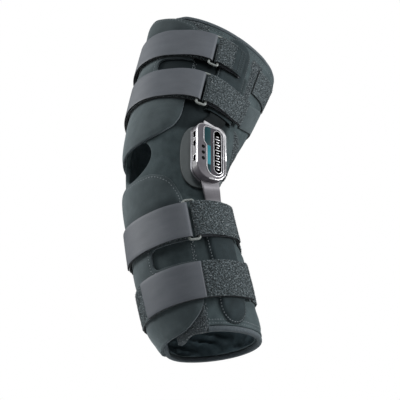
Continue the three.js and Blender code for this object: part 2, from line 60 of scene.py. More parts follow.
# %% The leg
LEG = np.array([  # along, side, front, back
    (-190, 51, 48, 63),
    (-130, 56, 55, 60),
    (-85, 57, 56, 51.5),
    (-40, 57, 56, 48.5),
    (0, 58, 55, 52),
    (40, 60, 61, 54.5),
    (85, 60.5, 66.5, 65.5),
    (130, 60, 71, 74),
    (190, 58, 76, 84),
], float)
THIGH_LEAN, CALF_LEAN = math.radians(15), math.radians(12)
BEND_REACH = 35
BEND_RATE = (THIGH_LEAN + CALF_LEAN) / (2 * BEND_REACH)
KNEE_LEAN = (THIGH_LEAN - CALF_LEAN) / 2
DRAWN_IN, DRAWN_IN_TURN, DRAWN_IN_FROM, DRAWN_IN_TO = 8.5, -28, 160, 192
TOP, BOTTOM = 190, -189
TOP_DIP, BOTTOM_TILT, TRIM_START = 7, 3, 120


def smooth_step(value, low, high):
    t = np.clip((np.asarray(value, float) - low) / (high - low), 0, 1)
    return t * t * (3 - 2 * t)


def curve_through(knots, values, at):
    """A smooth curve through a few values, each with its neighbours' slope."""
    count = len(knots)
    before = np.clip(np.arange(count) - 1, 0, count - 1)
    after = np.clip(np.arange(count) + 1, 0, count - 1)
    slopes = (values[after] - values[before]) / (knots[after] - knots[before])
    i = np.clip(np.searchsorted(knots, at, side="right") - 1, 0, count - 2)
    width = knots[i + 1] - knots[i]
    t = (at - knots[i]) / width
    rise = (values[i + 1] - values[i]) * t * t * (3 - 2 * t)
    leaving = t * (1 - t) ** 2 * width * slopes[i]
    arriving = t * t * (t - 1) * width * slopes[i + 1]
    return values[i] + rise + leaving + arriving


def middle_line(along):
    bent = np.clip(along, -BEND_REACH, BEND_REACH)
    lean = KNEE_LEAN + BEND_RATE * bent
    y = (math.cos(KNEE_LEAN) - np.cos(lean)) / BEND_RATE + (along - bent) * np.sin(lean)
    z = (np.sin(lean) - math.sin(KNEE_LEAN)) / BEND_RATE + (along - bent) * np.cos(lean)
    return y, z, lean


def drawn_in(turn, along):
    near = np.maximum(0, np.cos(np.radians(turn - DRAWN_IN_TURN)))
    return DRAWN_IN * near**2 * smooth_step(-along, DRAWN_IN_FROM, DRAWN_IN_TO)


def on_leg(turn, along, lift):
    """Places in millimetres for turns, distances along the leg and lifts."""
    turn, along, lift = np.broadcast_arrays(*(np.asarray(a, float) for a in (turn, along, lift)))
    lift = lift - drawn_in(turn, along)
    side, front, back = (curve_through(LEG[:, 0], LEG[:, k], along) for k in (1, 2, 3))
    y, z, lean = middle_line(along)
    sine, cosine = np.sin(np.radians(turn)), np.cos(np.radians(turn))
    forward = (np.where(cosine > 0, front, back) + lift) * cosine
    x = (side + lift) * sine
    return np.stack([x, y - forward * np.cos(lean), z + forward * np.sin(lean)], axis=-1)


def trimmed(along, turn):
    """The rims aren't level: the top dips at the sides and the bottom tilts."""
    dip = TOP_DIP * np.sin(np.radians(turn)) ** 2 * smooth_step(along, TRIM_START, TOP)
    tilt = BOTTOM_TILT * np.cos(np.radians(turn)) * smooth_step(-along, TRIM_START, -BOTTOM)
    return along - dip + tilt


def mm_per_degree(turn, along):
    return np.linalg.norm(on_leg(turn + 0.5, along, 0) - on_leg(turn - 0.5, along, 0), axis=-1)


print("round the knee: %.0f mm" % (360 * np.mean(mm_per_degree(np.arange(0, 360, 5), 0))))

# %% [markdown]
# ## Cut patterns
# A pattern is a grid in a flat sheet: x is the turn, y the distance along the leg, z the lift.
# Waste faces are deleted and the ragged edge is pulled onto the true outline, which is where a signed
# distance is zero. That gives clean curved edges on an even grid, which a boolean cut would not.

# %% Flat patterns
PULLS, PULL_REACH, PULL_FEEL, FLATTEST = 5, 1.6, 0.01, 1e-6


def flat_grid(x_range, y_range, step):
    (left, right), (low, high) = x_range, y_range
    bm = bmesh.new()
    columns = max(1, round((right - left) / step))
    rows = max(1, round((high - low) / step))
    bmesh.ops.create_grid(bm, x_segments=columns, y_segments=rows, size=0.5)
    bmesh.ops.scale(bm, vec=(right - left, high - low, 1), verts=bm.verts)
    bmesh.ops.translate(bm, vec=((left + right) / 2, (low + high) / 2, 0), verts=bm.verts)
    return bm


def places_of(verts):
    return np.array([v.co[:] for v in verts]).reshape(-1, 3)


def put(verts, places):
    for vert, place in zip(verts, places):
        vert.co = place


def slope_of(keep, x, y, feel):
    """How steeply a signed distance rises across and along a pattern."""
    across = keep(x + feel, y) - keep(x - feel, y)
    along = keep(x, y + feel) - keep(x, y - feel)
    return across / (2 * feel), along / (2 * feel)


def trim(bm, keep, step):
    """Cuts a flat pattern to the outline where the signed distance keep(x, y) is zero."""
    x, y, _ = places_of(bm.verts).T
    inside = keep(x, y)
    bm.verts.index_update()
    waste = [f for f in bm.faces if sum(inside[v.index] for v in f.verts) < 0]
    bmesh.ops.delete(bm, geom=waste, context="FACES")
    rim = [v for v in bm.verts if v.is_boundary]
    x, y, z = places_of(rim).T
    for _ in range(PULLS):
        value = keep(x, y)
        slope_x, slope_y = slope_of(keep, x, y, PULL_FEEL)
        steep = np.maximum(slope_x**2 + slope_y**2, FLATTEST)
        pull = np.where(np.abs(value) < PULL_REACH * step * np.sqrt(steep), value / steep, 0)
        x = x - pull * slope_x
        y = y - pull * slope_y
    put(rim, np.stack([x, y, z], axis=-1))


def soft_min(a, b, blend):
    """The smaller of two distances, which rounds the corner where they meet."""
    h = np.clip(0.5 + 0.5 * (b - a) / blend, 0, 1)
    return b + (a - b) * h - blend * h * (1 - h)


print("an edge is pulled up to %.1f steps onto its outline" % PULL_REACH)

# %% [markdown]
# The thickness and the rounded rim are made while the sheet is still flat, and then it is wrapped. The flat
# pattern is kept as a UV map, so that a weave follows the cloth at its real size.

# %% Thickness and wrapping
UV_MM = 100
FACE_TILT, FLAT_FACE, RIM_STEPS = 0.5, 0.9, 2
MERGE = 0.02 * MM


def face_outwards(bm):
    bmesh.ops.recalc_face_normals(bm, faces=bm.faces)


def bevelled(bm, geom, radius, steps, affect="EDGES"):
    return bmesh.ops.bevel(
        bm, geom=geom, offset=radius, segments=steps, profile=0.5, affect=affect, material=-1
    )["faces"]


def is_corner(edge):
    """Whether an edge lies between a flat face and the wall of the rim."""
    tilts = [abs(face.normal.z) for face in edge.link_faces]
    return len(tilts) == 2 and sum(tilts) < 1 + FACE_TILT and max(tilts) > FACE_TILT


def thicken(bm, thickness, rounding, skip=None):
    """Gives a flat pattern its thickness, from z = 0 up, and rounds its rim."""
    bmesh.ops.solidify(bm, geom=bm.faces[:], thickness=thickness)
    lowest = min(v.co.z for v in bm.verts)
    bmesh.ops.translate(bm, vec=(0, 0, -lowest), verts=bm.verts)
    face_outwards(bm)
    if skip:
        joint = [f for f in bm.faces if all(map(skip, f.verts))]
        bmesh.ops.delete(bm, geom=joint, context="FACES_ONLY")
    bevelled(bm, [e for e in bm.edges if is_corner(e)], rounding, RIM_STEPS)
    flat_uv(bm)


def flat_uv(bm):
    layer = bm.loops.layers.uv.new("pattern")
    for face in bm.faces:
        for loop in face.loops:
            loop[layer].uv = loop.vert.co.xy / UV_MM


def cut_pattern(x_range, y_range, step, keep, thickness, rounding, skip=None):
    bm = flat_grid(x_range, y_range, step)
    trim(bm, keep, step)
    thicken(bm, thickness, rounding, skip)
    return bm


def wrapped(flat):
    x, y, lift = flat.T
    return on_leg(x, trimmed(y, x), lift) * MM


def ripple(x, y, width, height, seed):
    """Soft noise from -1 to 1 over a flat pattern, which meets itself where the turn comes round."""
    angle = np.radians(x)
    round_leg = math.degrees(1) / width
    spots = np.stack([np.cos(angle) * round_leg, np.sin(angle) * round_leg, y / height + seed], axis=-1)
    return np.array([noise.noise(spot) for spot in spots])


print("one unit of the pattern's UV map is %d mm" % UV_MM)

# %% [markdown]
# A finished mesh becomes a piece. It gets its finishes, rides on the support's one body and names the
# nodes of the frame that it stands for.

# %% Making a piece
def dress(bm, choose):
    """Gives each face the finish whose number choose(face) tells."""
    for face in bm.faces:
        face.material_index = choose(face)


def paint_verts(bm, name, values):
    layer = bm.verts.layers.float.new(name)
    for vert, value in zip(bm.verts, values):
        vert[layer] = value


def show(bm, name, finishes, slot, *nodes, sharp=40):
    """Makes a finished piece: it rides on the support and stands for its nodes in the frame."""
    mesh = bpy.data.meshes.new(name)
    bm.to_mesh(mesh)
    bm.free()
    return show_mesh(mesh, name, finishes, slot, *nodes, sharp=sharp)


def show_mesh(mesh, name, finishes, slot, *nodes, sharp):
    for material in finishes:
        mesh.materials.append(material)
    mesh.shade_smooth()
    mesh.set_sharp_from_angle(angle=math.radians(sharp))
    piece = bpy.data.objects.new(name, mesh)
    bpy.context.scene.collection.objects.link(piece)
    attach(piece, BODY)
    if nodes:
        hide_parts(*nodes)
    return piece


def cloth_area(piece):
    """The area of one face of a sheet, which has two."""
    return sum(face.area for face in piece.data.polygons) / 2


print("pieces ride on", BODY)

# %% [markdown]
# ## Finishes
# The support is nearly all dark grey cloth, so the finishes differ in their surface more than in colour:
# knit over foam rubber, smooth laminated strap, brushed loop pile, ribbed tape and cut foam edges.
# Each finish reads the pattern's own UV map or the Object coordinates, so nothing slides when it moves.

# %% Shader nodes
SHEEN_TINT = "#cbdade"


def paint(code):
    """A colour from its six-figure code, as the linear values that a shader uses."""
    parts = [int(code[k:k + 2], 16) / 255 for k in (1, 3, 5)]
    return (*(p / 12.92 if p <= 0.04045 else ((p + 0.055) / 1.055) ** 2.4 for p in parts), 1.0)


def finish(name, code, roughness, metal=0.0, sheen=0.0, coat=0.0):
    made = bpy.data.materials.new(name)
    made.use_nodes = True
    shader = made.node_tree.nodes["Principled BSDF"]
    settings = {
        "Base Color": paint(code), "Roughness": roughness, "Metallic": metal, "Sheen Weight": sheen,
        "Sheen Roughness": 0.5, "Sheen Tint": paint(SHEEN_TINT), "Coat Weight": coat, "Coat Roughness": 0.2,
    }
    for key, value in settings.items():
        shader.inputs[key].default_value = value
    return made, made.node_tree, shader


def node(tree, kind, inputs=(), **settings):
    made = tree.nodes.new("ShaderNode" + kind)
    for key, value in settings.items():
        setattr(made, key, value)
    for key, value in dict(inputs).items():
        if isinstance(value, bpy.types.NodeSocket):
            tree.links.new(value, made.inputs[key])
        else:
            made.inputs[key].default_value = value
    return made


def pattern_uv(tree):
    return node(tree, "UVMap", uv_map="pattern").outputs["UV"]


def object_place(tree):
    return node(tree, "TexCoord").outputs["Object"]


def attribute(tree, name):
    return node(tree, "Attribute", attribute_name=name).outputs["Fac"]


def maths(tree, operation, first, second):
    return node(tree, "Math", {0: first, 1: second}, operation=operation).outputs["Value"]


def mixed(tree, share, first, second):
    return node(tree, "MixRGB", {"Fac": share, "Color1": first, "Color2": second}).outputs["Color"]


def ramp(tree, value, *stops):
    """A colour ramp from (position, colour code) stops."""
    made = node(tree, "ValToRGB", {"Fac": value})
    elements = made.color_ramp.elements
    while len(elements) < len(stops):
        elements.new(0.5)
    for element, (position, code) in zip(elements, stops):
        element.position = position
        element.color = paint(code)
    return made.outputs["Color"]


print("sheen is tinted", SHEEN_TINT)

# %% [markdown]
# A surface is built up from a few layers: noise for wear and grain, ridges for threads, a colour ramp for
# its two tones and bump for its relief.

# %% Surface tools
def speckle(tree, place, scale, detail):
    return node(tree, "TexNoise", {"Vector": place, "Scale": scale, "Detail": detail}).outputs["Fac"]


def cloth_noise(tree, uv, across, along, detail):
    """Noise over a pattern, with its own fineness across and along the cloth."""
    place = node(tree, "Mapping", {"Vector": uv, "Scale": (across, along, 1)}).outputs["Vector"]
    return speckle(tree, place, 1.0, detail)


def weighed(tree, first, share, second):
    rest = maths(tree, "MULTIPLY", second, 1 - share)
    return maths(tree, "ADD", maths(tree, "MULTIPLY", first, share), rest)


def bands(tree, place, direction, per_unit):
    """Even ridges across x or y, as threads make."""
    wave = node(tree, "TexWave", {"Vector": place, "Scale": per_unit}, bands_direction=direction)
    return wave.outputs["Fac"]


def cross_weave(tree, uv, per_unit):
    return maths(tree, "MULTIPLY", bands(tree, uv, "X", per_unit), bands(tree, uv, "Y", per_unit))


def colour_from(tree, shader, colour):
    tree.links.new(colour, shader.inputs["Base Color"])


def two_tone(tree, shader, value, dark, light, spread=0.2):
    colour_from(tree, shader, ramp(tree, value, (0.5 - spread, dark), (0.5 + spread, light)))


def wear(tree, shader, value, low, high):
    """Lets the roughness wander between two values."""
    worn = node(tree, "MapRange", {"Value": value, "To Min": low, "To Max": high})
    tree.links.new(worn.outputs["Result"], shader.inputs["Roughness"])


def relief(tree, shader, *layers):
    """Bump from (height, depth in millimetres) layers, one on the other."""
    normal = None
    for height, depth in layers:
        inputs = {"Height": height, "Distance": depth * MM, "Strength": 1.0}
        if normal:
            inputs["Normal"] = normal
        normal = node(tree, "Bump", inputs).outputs["Normal"]
    tree.links.new(normal, shader.inputs["Normal"])


print("surface tools ready")

# %% [markdown]
# ### Cloth finishes
# The sleeve is foam rubber faced with a fine knit. A knit shows as rows of small stitches, so two sets of
# ridges are multiplied. A slow noise under it gives the patchy tone of worn, stretched cloth.
# Some of the cloth is brushed, so that flaps and hook ends hold on to it, and in some places shade is painted
# into the colour, with less sheen there. Painted values, fuzz and painted_shade, mix these in.

# %% Knit, flap cloth and tape
KNIT_PER_UNIT, TAPE_RIBS = 26, 18
# The colour towards which shade is painted on the sleeve and the flaps.
PAINTED_SHADE_COLOUR = "#182124"


def knit(name, dark, light, depth=0.12, sheen=0.25, fuzz_and_shade=False):
    made, tree, shader = finish(name, light, 0.85, sheen=sheen)
    shader.inputs["Specular IOR Level"].default_value = 0.2
    uv = pattern_uv(tree)
    mottle = cloth_noise(tree, uv, 9, 9, 4.0)
    grain = cloth_noise(tree, uv, 130, 130, 2.0)
    colour = ramp(tree, weighed(tree, mottle, 0.7, grain), (0.32, dark), (0.68, light))
    layers = [(mottle, 0.35), (cross_weave(tree, uv, KNIT_PER_UNIT), depth), (grain, depth)]
    if fuzz_and_shade:
        # The fuzz value mixes in brushed pile. The painted_shade value paints shade: it darkens the colour
        # and takes the sheen away.
        painted_shade, fuzz = attribute(tree, "painted_shade"), attribute(tree, "fuzz")
        colour = mixed(tree, painted_shade, colour, paint(PAINTED_SHADE_COLOUR))
        unshaded_share = maths(tree, "SUBTRACT", 1.0, painted_shade)
        tree.links.new(maths(tree, "MULTIPLY", unshaded_share, sheen), shader.inputs["Sheen Weight"])
        hairs = cloth_noise(tree, uv, 95, 95, 4.0)
        hairy = ramp(tree, hairs, (0.38, "#1d2326"), (0.52, "#3b4246"), (0.68, "#767c80"))
        colour = mixed(tree, fuzz, colour, hairy)
        layers.append((maths(tree, "MULTIPLY", hairs, fuzz), 0.9))
    colour_from(tree, shader, colour)
    relief(tree, shader, *layers)
    return made


def tape(name, dark, light):
    made, tree, shader = finish(name, light, 0.8, sheen=0.3)
    uv = pattern_uv(tree)
    worn = cloth_noise(tree, uv, 30, 30, 4.0)
    two_tone(tree, shader, worn, dark, light)
    relief(tree, shader, (bands(tree, uv, "X", TAPE_RIBS), 0.25), (worn, 0.2))
    return made


SLEEVE_KNIT = knit("sleeve_knit", "#2e393c", "#434f52", sheen=0.22, fuzz_and_shade=True)
LINING = knit("lining", "#2d3c42", "#506067", depth=0.2, sheen=0.1)
FLAP_CLOTH = knit("flap_cloth", "#2e373a", "#3a4447", depth=0.06, sheen=0.45, fuzz_and_shade=True)
POCKET_CLOTH = knit("pocket_cloth", "#1b2427", "#2a3539", sheen=0.1)
EDGE_TAPE = tape("edge_tape", "#30383d", "#465057")
FOAM_EDGE = tape("foam_edge", "#353e43", "#4c565c")
print("cloth finishes:", SLEEVE_KNIT.name, LINING.name, FLAP_CLOTH.name, POCKET_CLOTH.name, EDGE_TAPE.name)

# %% [markdown]
# ### Strap finishes
# A strap has a smooth laminated face and a brushed loop pile face; its cut edges are painted near black as
# shade.
# The pile is modelled twice: here as a speckled, bumpy ground, and later as thousands of real little loops.

# %% Webbing, pile and fibre
WEBBING_PER_UNIT = 30


def webbing(name, dark, light):
    made, tree, shader = finish(name, light, 0.62, sheen=0.06)
    uv = pattern_uv(tree)
    cloud = cloth_noise(tree, uv, 5, 12, 5.0)
    fine = cloth_noise(tree, uv, 160, 60, 2.0)
    two_tone(tree, shader, weighed(tree, cloud, 0.75, fine), dark, light)
    relief(tree, shader, (cloud, 0.25), (cross_weave(tree, uv, WEBBING_PER_UNIT), 0.06), (fine, 0.05))
    return made


def pile(name):
    made, tree, shader = finish(name, "#33393d", 1.0, sheen=0.5)
    tufts = cloth_noise(tree, pattern_uv(tree), 60, 60, 2.0)
    colour_from(tree, shader, ramp(tree, tufts, (0.38, "#101516"), (0.5, "#2e373a"), (0.66, "#6b767b")))
    relief(tree, shader, (tufts, 1.0))
    return made


def fibre(name):
    made, tree, shader = finish(name, "#5a6064", 0.9, sheen=0.3)
    stops = (0.0, "#151a1c"), (0.4, "#384145"), (0.7, "#7f8a8f"), (1.0, "#ccd4d7")
    colour_from(tree, shader, ramp(tree, attribute(tree, "tone"), *stops))
    return made


WEBBING = webbing("strap_webbing", "#4a4f56", "#545960")
# Near black: painted shade on the straps' cut edges.
STRAP_EDGE_SHADE = webbing("strap_edge", "#0b0e10", "#171b1e")
PILE = pile("loop_pile")
FIBRE = fibre("pile_fibre")
print("strap finishes:", WEBBING.name, STRAP_EDGE_SHADE.name, PILE.name, FIBRE.name)

# %% [markdown]
# ### Hard finishes
# The rings and covers are moulded plastic with a slight grain, the lower bars satin metal brushed along their
# length, and the cover's raised edges are painted bright as a highlight. Sheaths, slots and the printed inlay
# are dull, so they get less specular light. The slots' depths and the pad's edges are painted near black as
# shade. The thread is a twisted yarn.

# %% Plastic, rubber, metal and thread
DULL_SPECULAR = 0.1


def moulded(name, dark, light, roughness, metal=0.0, coat=0.0, grain=0.03):
    made, tree, shader = finish(name, light, roughness, metal=metal, coat=coat)
    place = object_place(tree)
    cloud = speckle(tree, place, 60, 4.0)
    two_tone(tree, shader, cloud, dark, light)
    wear(tree, shader, cloud, roughness - 0.08, roughness + 0.08)
    relief(tree, shader, (speckle(tree, place, 1800, 2.0), grain))
    return made


def satin(name, dark, light, roughness, metal):
    made, tree, shader = finish(name, light, roughness, metal=metal)
    lines = cloth_noise(tree, pattern_uv(tree), 500, 6, 3.0)
    two_tone(tree, shader, lines, dark, light)
    wear(tree, shader, lines, roughness - 0.08, roughness + 0.1)
    relief(tree, shader, (lines, 0.02))
    return made


def yarn(name, dark, light):
    made, tree, shader = finish(name, light, 0.8, sheen=0.3)
    twist = speckle(tree, object_place(tree), 900, 2.0)
    two_tone(tree, shader, twist, dark, light, spread=0.15)
    relief(tree, shader, (twist, 0.1))
    return made


RING_PLASTIC = moulded("ring_plastic", "#777d7b", "#8b918f", 0.4)
PAD_RUBBER = moulded("pad_rubber", "#444c4e", "#525a5c", 0.6, grain=0.08)
# Near black: a painted shadow round the pad's edge.
PAD_EDGE_SHADE = moulded("pad_edge", "#0c0f10", "#161a1c", 0.7, grain=0.08)
COVER_PLASTIC = moulded("cover_plastic", "#424046", "#535057", 0.5, coat=0.15)
# Bright finish: the inlay's bead, ribs and slot brims and the uprights' feet, and a painted highlight on the
# cover's rim and the inlay's top strip.
BRIGHT_TRIM_AND_HIGHLIGHT = moulded("bright_trim_and_highlight", "#d4d4d8", "#e6e6ea", 0.22, metal=0.6, coat=0.5, grain=0.01)
BRIGHT_STEEL = satin("bright_steel", "#4c4c50", "#5e5e63", 0.4, 0.6)
BAR_METAL = satin("bar_metal", "#717075", "#807e83", 0.55, 0.25)
BAR_SHEATH = moulded("bar_sheath", "#0d1112", "#181d1f", 0.75, grain=0.06)
# Black: the inlay's own black parts, and painted shade in the depths of the cover's slots.
BLACK_AND_SLOT_SHADE = moulded("black_and_slot_shade", "#030404", "#07080a", 0.9)
INLAY_PANEL = moulded("inlay_panel", "#313036", "#403e45", 0.5, coat=0.1)
INLAY_DEEP = moulded("inlay_deep", "#0f2f34", "#173b40", 0.5, coat=0.05)
INLAY_TEAL = moulded("inlay_teal", "#26717d", "#348390", 0.5, coat=0.05)
for dull in (BAR_SHEATH, BLACK_AND_SLOT_SHADE, INLAY_PANEL, INLAY_DEEP, INLAY_TEAL):
    dull.node_tree.nodes["Principled BSDF"].inputs["Specular IOR Level"].default_value = DULL_SPECULAR
THREAD = yarn("thread", "#565d61", "#788085")
DARK_THREAD = yarn("dark_thread", "#23292c", "#343b3f")
print("hard finishes:", RING_PLASTIC.name, PAD_RUBBER.name, COVER_PLASTIC.name, BAR_METAL.name)

# %% [markdown]
# ## The sleeve
# The real sleeve is a sheet of padded cloth, sewn to a tube, with a round hole for the kneecap and a wide
# cut-out behind the knee so that it doesn't bunch up when the leg bends. Its lower front corner is free.
# Here it is one pattern, 360 degrees wide, and each cut is a signed distance.

# %% The sleeve's outline
WALL, BINDING, GAP = 4, 5, 0.3
STRAP_LEVELS = (139, 80, -73, -137)
STRAP_WIDTH, STRAP_EASE = 38, 11
SLEEVE_STEP, SLEEVE_ROUND = 2.2, 0.8
KNEE_HOLE = {"along": 4, "half_height": 17, "half_turn": 28}
BACK_CUT_ALONG = np.array([-57, -40, -10, 5, 13, 18], float)
BACK_CUT_EDGE = np.array([104, 105, 107, 113, 127, 147], float)
BACK_CUT_ROUND = 9
FRONT_CORNER_TURNS, FRONT_CORNER_ALONG = (-54, 17.5), -172
FRONT_SIDE_ROUND, FRONT_TOP_ROUND = 2, 3
FREE_CORNER_TO, FREE_CORNER_ROUND = 61, 2


def clear_of_kneecap(x, y):
    across = x / KNEE_HOLE["half_turn"]
    up = (y - KNEE_HOLE["along"]) / KNEE_HOLE["half_height"]
    return (np.hypot(across, up) - 1) * KNEE_HOLE["half_height"]


def clear_of_knee_back(x, y):
    low, high = BACK_CUT_ALONG[0], BACK_CUT_ALONG[-1]
    edge = curve_through(BACK_CUT_ALONG, BACK_CUT_EDGE, np.clip(y, low, high))
    inside = soft_min(np.abs(x) - edge, y - low, BACK_CUT_ROUND)
    return -soft_min(inside, high - y, BACK_CUT_ROUND)


def clear_of_front_corner(x, y):
    low, high = FRONT_CORNER_TURNS
    between = soft_min(x - low, high - x, FRONT_SIDE_ROUND)
    return -soft_min(between, FRONT_CORNER_ALONG - y, FRONT_TOP_ROUND)


def clear_of_bottom_rim(x, y):
    """The bottom tape ends where the free corner starts, and there the sleeve runs on to its own edge."""
    free = soft_min(x - FRONT_CORNER_TURNS[0], FREE_CORNER_TO - x, FREE_CORNER_ROUND)
    return np.maximum(y - BOTTOM - BINDING - GAP, free)


SLEEVE_CUTS = (clear_of_kneecap, clear_of_knee_back, clear_of_front_corner, clear_of_bottom_rim)


def sleeve_outline(x, y):
    return np.min([clear(x, y) for clear in SLEEVE_CUTS], axis=0)


print("cuts in the sleeve:", len(SLEEVE_CUTS))

# %% [markdown]
# The straps make the sleeve bulge between them, seams and stitch lines pull it in, and the lining inside has
# loose folds. These are small lifts, worked out for each point of the pattern.

# %% The sleeve's relief
FRONT_SEAM = 60
HEM_LINES = (TOP - 9.5, TOP - 13, BOTTOM + 8, BOTTOM + 11.5)
SEAM_DEPTH, HEM_WIDTH, FRONT_SEAM_WIDTH = 0.7, 1.0, 1.4
BEHIND_TURNS, BEHIND_ALONG = (122, 140), (62, 95)
BULGE, ROLL, CREASE = 1.2, 1.6, 0.9
CREASE_RIPPLE, ROLL_RIPPLE, FOLD_RIPPLE = (26, 26, 3.1), (45, 11, 8.4), (31, 10, 5.7)
DROOP, DROOP_FROM, DROOP_TO, DROOP_ALONG = 6, (10, 17), (18, 45), (160, 180)
FOLD_SHARPNESS, FOLD_DEPTH, FOLD_DEEPER, FOLD_ALONG = 2.2, 0.6, 2.6, (110, 180)


def between_straps(along):
    """0 under a strap, rising to 1 some way from the nearest strap."""
    away = np.min(np.abs(np.asarray(along)[:, None] - STRAP_LEVELS), axis=1) - STRAP_WIDTH / 2
    return smooth_step(away, 0, STRAP_EASE)


def groove(value, middle, width):
    return np.exp(-(((value - middle) / width) ** 2))


def sleeve_outside(x, y):
    """How far the outer face stands out, in millimetres; behind the leg it is free to bulge."""
    behind = smooth_step(np.abs(x), *BEHIND_TURNS) * smooth_step(np.abs(y), *BEHIND_ALONG)
    lines = sum(groove(y, level, HEM_WIDTH) for level in HEM_LINES) + groove(x, FRONT_SEAM, FRONT_SEAM_WIDTH)
    creases = CREASE * np.minimum(ripple(x, y, *CREASE_RIPPLE), 0)
    rolls = ROLL * np.maximum(ripple(x, y, *ROLL_RIPPLE), 0)
    return behind * between_straps(y) * (BULGE + rolls) - SEAM_DEPTH * lines + creases


def sag(x, y):
    """The sleeve's lower front corner is free, and hangs down a little."""
    droop = DROOP * smooth_step(x, *DROOP_FROM) * (1 - smooth_step(x, *DROOP_TO))
    return droop * smooth_step(-y, *DROOP_ALONG)


def lining_folds(x, y):
    """Loose folds of the lining: long ridges round the leg, deeper towards the rims."""
    ridges = 1 - FOLD_SHARPNESS * np.abs(ripple(x, y, *FOLD_RIPPLE))
    return np.maximum(ridges, 0) * (FOLD_DEPTH + FOLD_DEEPER * smooth_step(np.abs(y), *FOLD_ALONG))


print("hem lines:", HEM_LINES)

# %% [markdown]
# The sleeve is brushed where the flaps' corners land, at the back of the thigh and above the knee's opening.
# The thigh's side panels are painted darker as shade, and so, at part strength, is the calf under its flap's
# notch. Each patch is a soft window in the pattern.

# %% Brushed patches and painted shade
BRUSHED = [  # turn and along, where each starts, is full, fades and ends
    ((36, 40, 62, 67), (152, 156, TOP, TOP + 1)),
    ((10, 13, 59, 62), (BOTTOM - 2, BOTTOM - 1, -156, -152)),
    ((110, 113, 124, 127), (156, 159, 172, 175)),
    ((112, 116, 120, 124), (97, 103, 160, 166)),
]
KNEE_BACK_TURNS, KNEE_BACK_ALONG = (120, 124), (14, 17, 61, 64)
KNEE_BACK_TOP, KNEE_BACK_SLANT = 62, 0.75
# Where shade is painted on the sleeve: the thigh's side panels in full, and the calf under its flap's notch
# in part.
THIGH_SHADE = (8, 16, 108, 116), (22, 30, 130, 138)
CALF_SHADE, CALF_SHADE_SHARE = ((0, 6, 82, 88), (-122, -116, -92, -86)), 0.4


def window(value, start, full, fade, end):
    return smooth_step(value, start, full) * (1 - smooth_step(value, fade, end))


def patch(x, y, turns, along):
    return window(x, *turns) * window(y, *along)


def brushed_patch(x, y):
    slanted = np.abs(x) - KNEE_BACK_SLANT * (KNEE_BACK_TOP - y)
    knee_back = smooth_step(slanted, *KNEE_BACK_TURNS) * window(y, *KNEE_BACK_ALONG)
    return np.clip(sum(patch(x, y, *row) for row in BRUSHED) + knee_back, 0, 1)


def painted_shade_panel(x, y):
    return patch(np.abs(x), y, *THIGH_SHADE) + CALF_SHADE_SHARE * patch(x, y, *CALF_SHADE)


print("brushed patches:", len(BRUSHED) + 1)

# %% [markdown]
# The pattern is cut, thickened and painted while flat. Then its outer face and its lining get their own
# relief, and the sheet is wrapped and joined behind the leg.

# %% Cut, thicken and wrap the sleeve
def on_joint(vert):
    return abs(vert.co.x) > 180 - 0.01


height = BOTTOM, TOP - BINDING - GAP
sheet = cut_pattern((-180, 180), height, SLEEVE_STEP, sleeve_outline, WALL, SLEEVE_ROUND, skip=on_joint)
dress(sheet, lambda face: int(face.normal.z < -FACE_TILT))
x, y, z = places_of(sheet.verts).T
paint_verts(sheet, "fuzz", brushed_patch(x, y))
# Painted shade on the thigh's sides and under the calf flap's notch.
paint_verts(sheet, "painted_shade", painted_shade_panel(x, y))
outward = z / WALL
lift = z + outward * sleeve_outside(x, y) - ((1 - outward) * lining_folds(x, y) + WALL)
put(sheet.verts, wrapped(np.stack([x, y - sag(x, y), lift], axis=-1)))
bmesh.ops.remove_doubles(sheet, verts=sheet.verts, dist=MERGE)
sleeve = show(sheet, "padded_sleeve", [SLEEVE_KNIT, LINING], "neoprene", "sleeve")
print("sleeve faces:", len(sleeve.data.polygons), "area %.3f m2" % cloth_area(sleeve))

# %% [markdown]
# ## The rims
# Each rim is bound with a folded tape, so that the cut foam doesn't show. A folded tape has a round, full
# section, so a grid is rolled into a tube with a squarish section and its two ends are closed.
# The tapes aren't full rings: the top one ends at the thigh flap, and the bottom one at the free corner.

# %% Top and bottom rims
RIM_COLUMNS, RIM_SECTION, RIM_SQUARENESS = 180, 16, 0.55
RIM_SINK, RIM_SWELL, RIM_TALL = 0.2, 0.7, 0.1
RIM_UNEVEN, RIM_RIPPLE = 0.25, (9, 9)
TOP_RIM_TURNS, BOTTOM_RIM_TURNS = (30, 302), (FREE_CORNER_TO, 350)
TOP_TUCK, TOP_TUCK_TURNS = -3, (30, 42)
BOTTOM_TUCK, BOTTOM_TUCK_TURNS = 6, (328, 350)


def squarish(angle):
    """A point on a rounded square of half width 1."""
    cosine, sine = np.cos(angle), np.sin(angle)
    return tuple(np.sign(part) * np.abs(part) ** RIM_SQUARENESS for part in (cosine, sine))


def top_tuck(x):
    return TOP_TUCK * (1 - smooth_step(x, *TOP_TUCK_TURNS))


def bottom_tuck(x):
    return BOTTOM_TUCK * smooth_step(x, *BOTTOM_TUCK_TURNS)


